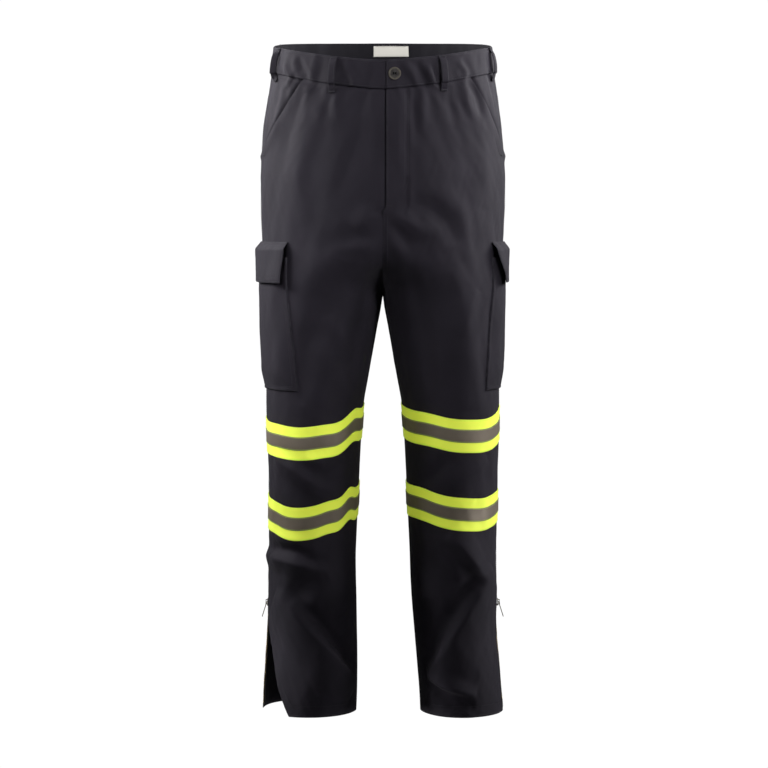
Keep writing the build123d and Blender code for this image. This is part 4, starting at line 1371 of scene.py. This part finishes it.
# ------------------------------------------------------------------ metal and button
METAL = [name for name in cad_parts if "zip_slider" in name or "zip_pull" in name]
for name in METAL + ["waist_button"]:
    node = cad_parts[name]
    node.data.materials.clear()
    node.data.materials.append(button_material(node) if name == "waist_button" else brass)
    soften = node.modifiers.new("soften", "BEVEL")
    soften.width, soften.segments, soften.limit_method = 0.0002, 2, "ANGLE"


# ------------------------------------------------------------------ camera, lights, floor
WHITE, BACKDROP = (1.0, 1.0, 1.0), 1.02
FLOOR_SIZE, FLOOR_Z = 14.0, -1.30
LIGHTS = {      # place, point aimed at, size, watts and spread in degrees
    "side_left": ((-1.3, -0.05, 0.45), (0, 0, -0.05), (0.7, 0.6), 8.5, 85),
    "rim_left": ((-1.3, 0.5, 0.35), (0, 0, -0.05), (0.7, 0.6), 6.5, 85),
    "front_left": ((-1.5, -1.2, 0.7), (0, 0, -0.10), (0.8, 0.8), 1.0, 75),
    "thigh_left": ((-1.1, -2.3, 0.1), (-0.13, 0, -0.42), (0.3, 0.3), 0.28, 18),
    "low_left": ((-1.4, -0.10, -1.05), (0, 0, -1.02), (0.4, 0.2), 0.45, 24),
    "low_right": ((1.4, -0.10, -1.0), (0, 0, -0.97), (0.4, 0.3), 0.7, 46),
    "side_right": ((1.3, -0.05, 0.45), (0, 0, -0.05), (0.7, 0.6), 3.5, 85),
    "rim_right": ((1.3, 0.5, 0.35), (0, 0, -0.05), (0.7, 0.6), 7.5, 85),
    "front_right": ((1.9, -2.2, 1.0), (0.05, 0, 0.10), (1.0, 1.0), 5.0, 32)}


def put(name, data, location, target):
    """Adds a camera or light at a place, looking at a target."""
    obj = bpy.data.objects.new(name, data)
    bpy.context.scene.collection.objects.link(obj)
    obj.location = location
    obj.rotation_euler = (Vector(target) - obj.location).to_track_quat("-Z", "Y").to_euler()
    return obj


def area_light(name, location, target, size, power, spread_angle):
    data = bpy.data.lights.new(name, "AREA")
    data.shape = "RECTANGLE"
    data.size, data.size_y = size
    data.energy = power
    data.spread = math.radians(spread_angle)
    put(name, data, location, target)


def camera_only(tree, seen, lit, output):
    """Joins two shaders: one that the camera sees, and one that lights the object."""
    path = add(tree, "LightPath").outputs["Is Camera Ray"]
    plug(tree, output.inputs["Surface"], add(tree, "MixShader", {0: path, 1: lit, 2: seen}).outputs[0])


camera_data = bpy.data.cameras.new("camera")
camera_data.lens = 121.0
bpy.context.scene.camera = put("camera", camera_data, (0.002, -4.0, -0.26), (0.002, 0.0, -0.5135))
for name, settings in LIGHTS.items():
    area_light(name, *settings)

world = bpy.data.worlds.new("studio")
bpy.context.scene.world = world
world.use_nodes = True
sky = world.node_tree
ambient = sky.nodes["Background"]
plug(sky, ambient.inputs["Color"], WHITE)
ambient.inputs["Strength"].default_value = 0.025
backdrop = add(sky, "Background", {"Color": WHITE, "Strength": BACKDROP})
camera_only(sky, backdrop.outputs[0], ambient.outputs[0], sky.nodes["World Output"])
bpy.context.scene.view_settings.view_transform = "Standard"

floor_mat, floor_tree, floor_bsdf = material("floor", (0.35, 0.35, 0.35), 0.9)
glow = add(floor_tree, "Emission", {"Color": WHITE, "Strength": BACKDROP})
camera_only(floor_tree, glow.outputs[0], floor_bsdf.outputs[0], floor_tree.nodes["Material Output"])
corners = [(x * FLOOR_SIZE, y * FLOOR_SIZE, FLOOR_Z) for x, y in ((-1, -1), (1, -1), (1, 1), (-1, 1))]
new_object("floor", corners, [[0, 1, 2, 3]], floor_mat, smooth=False)
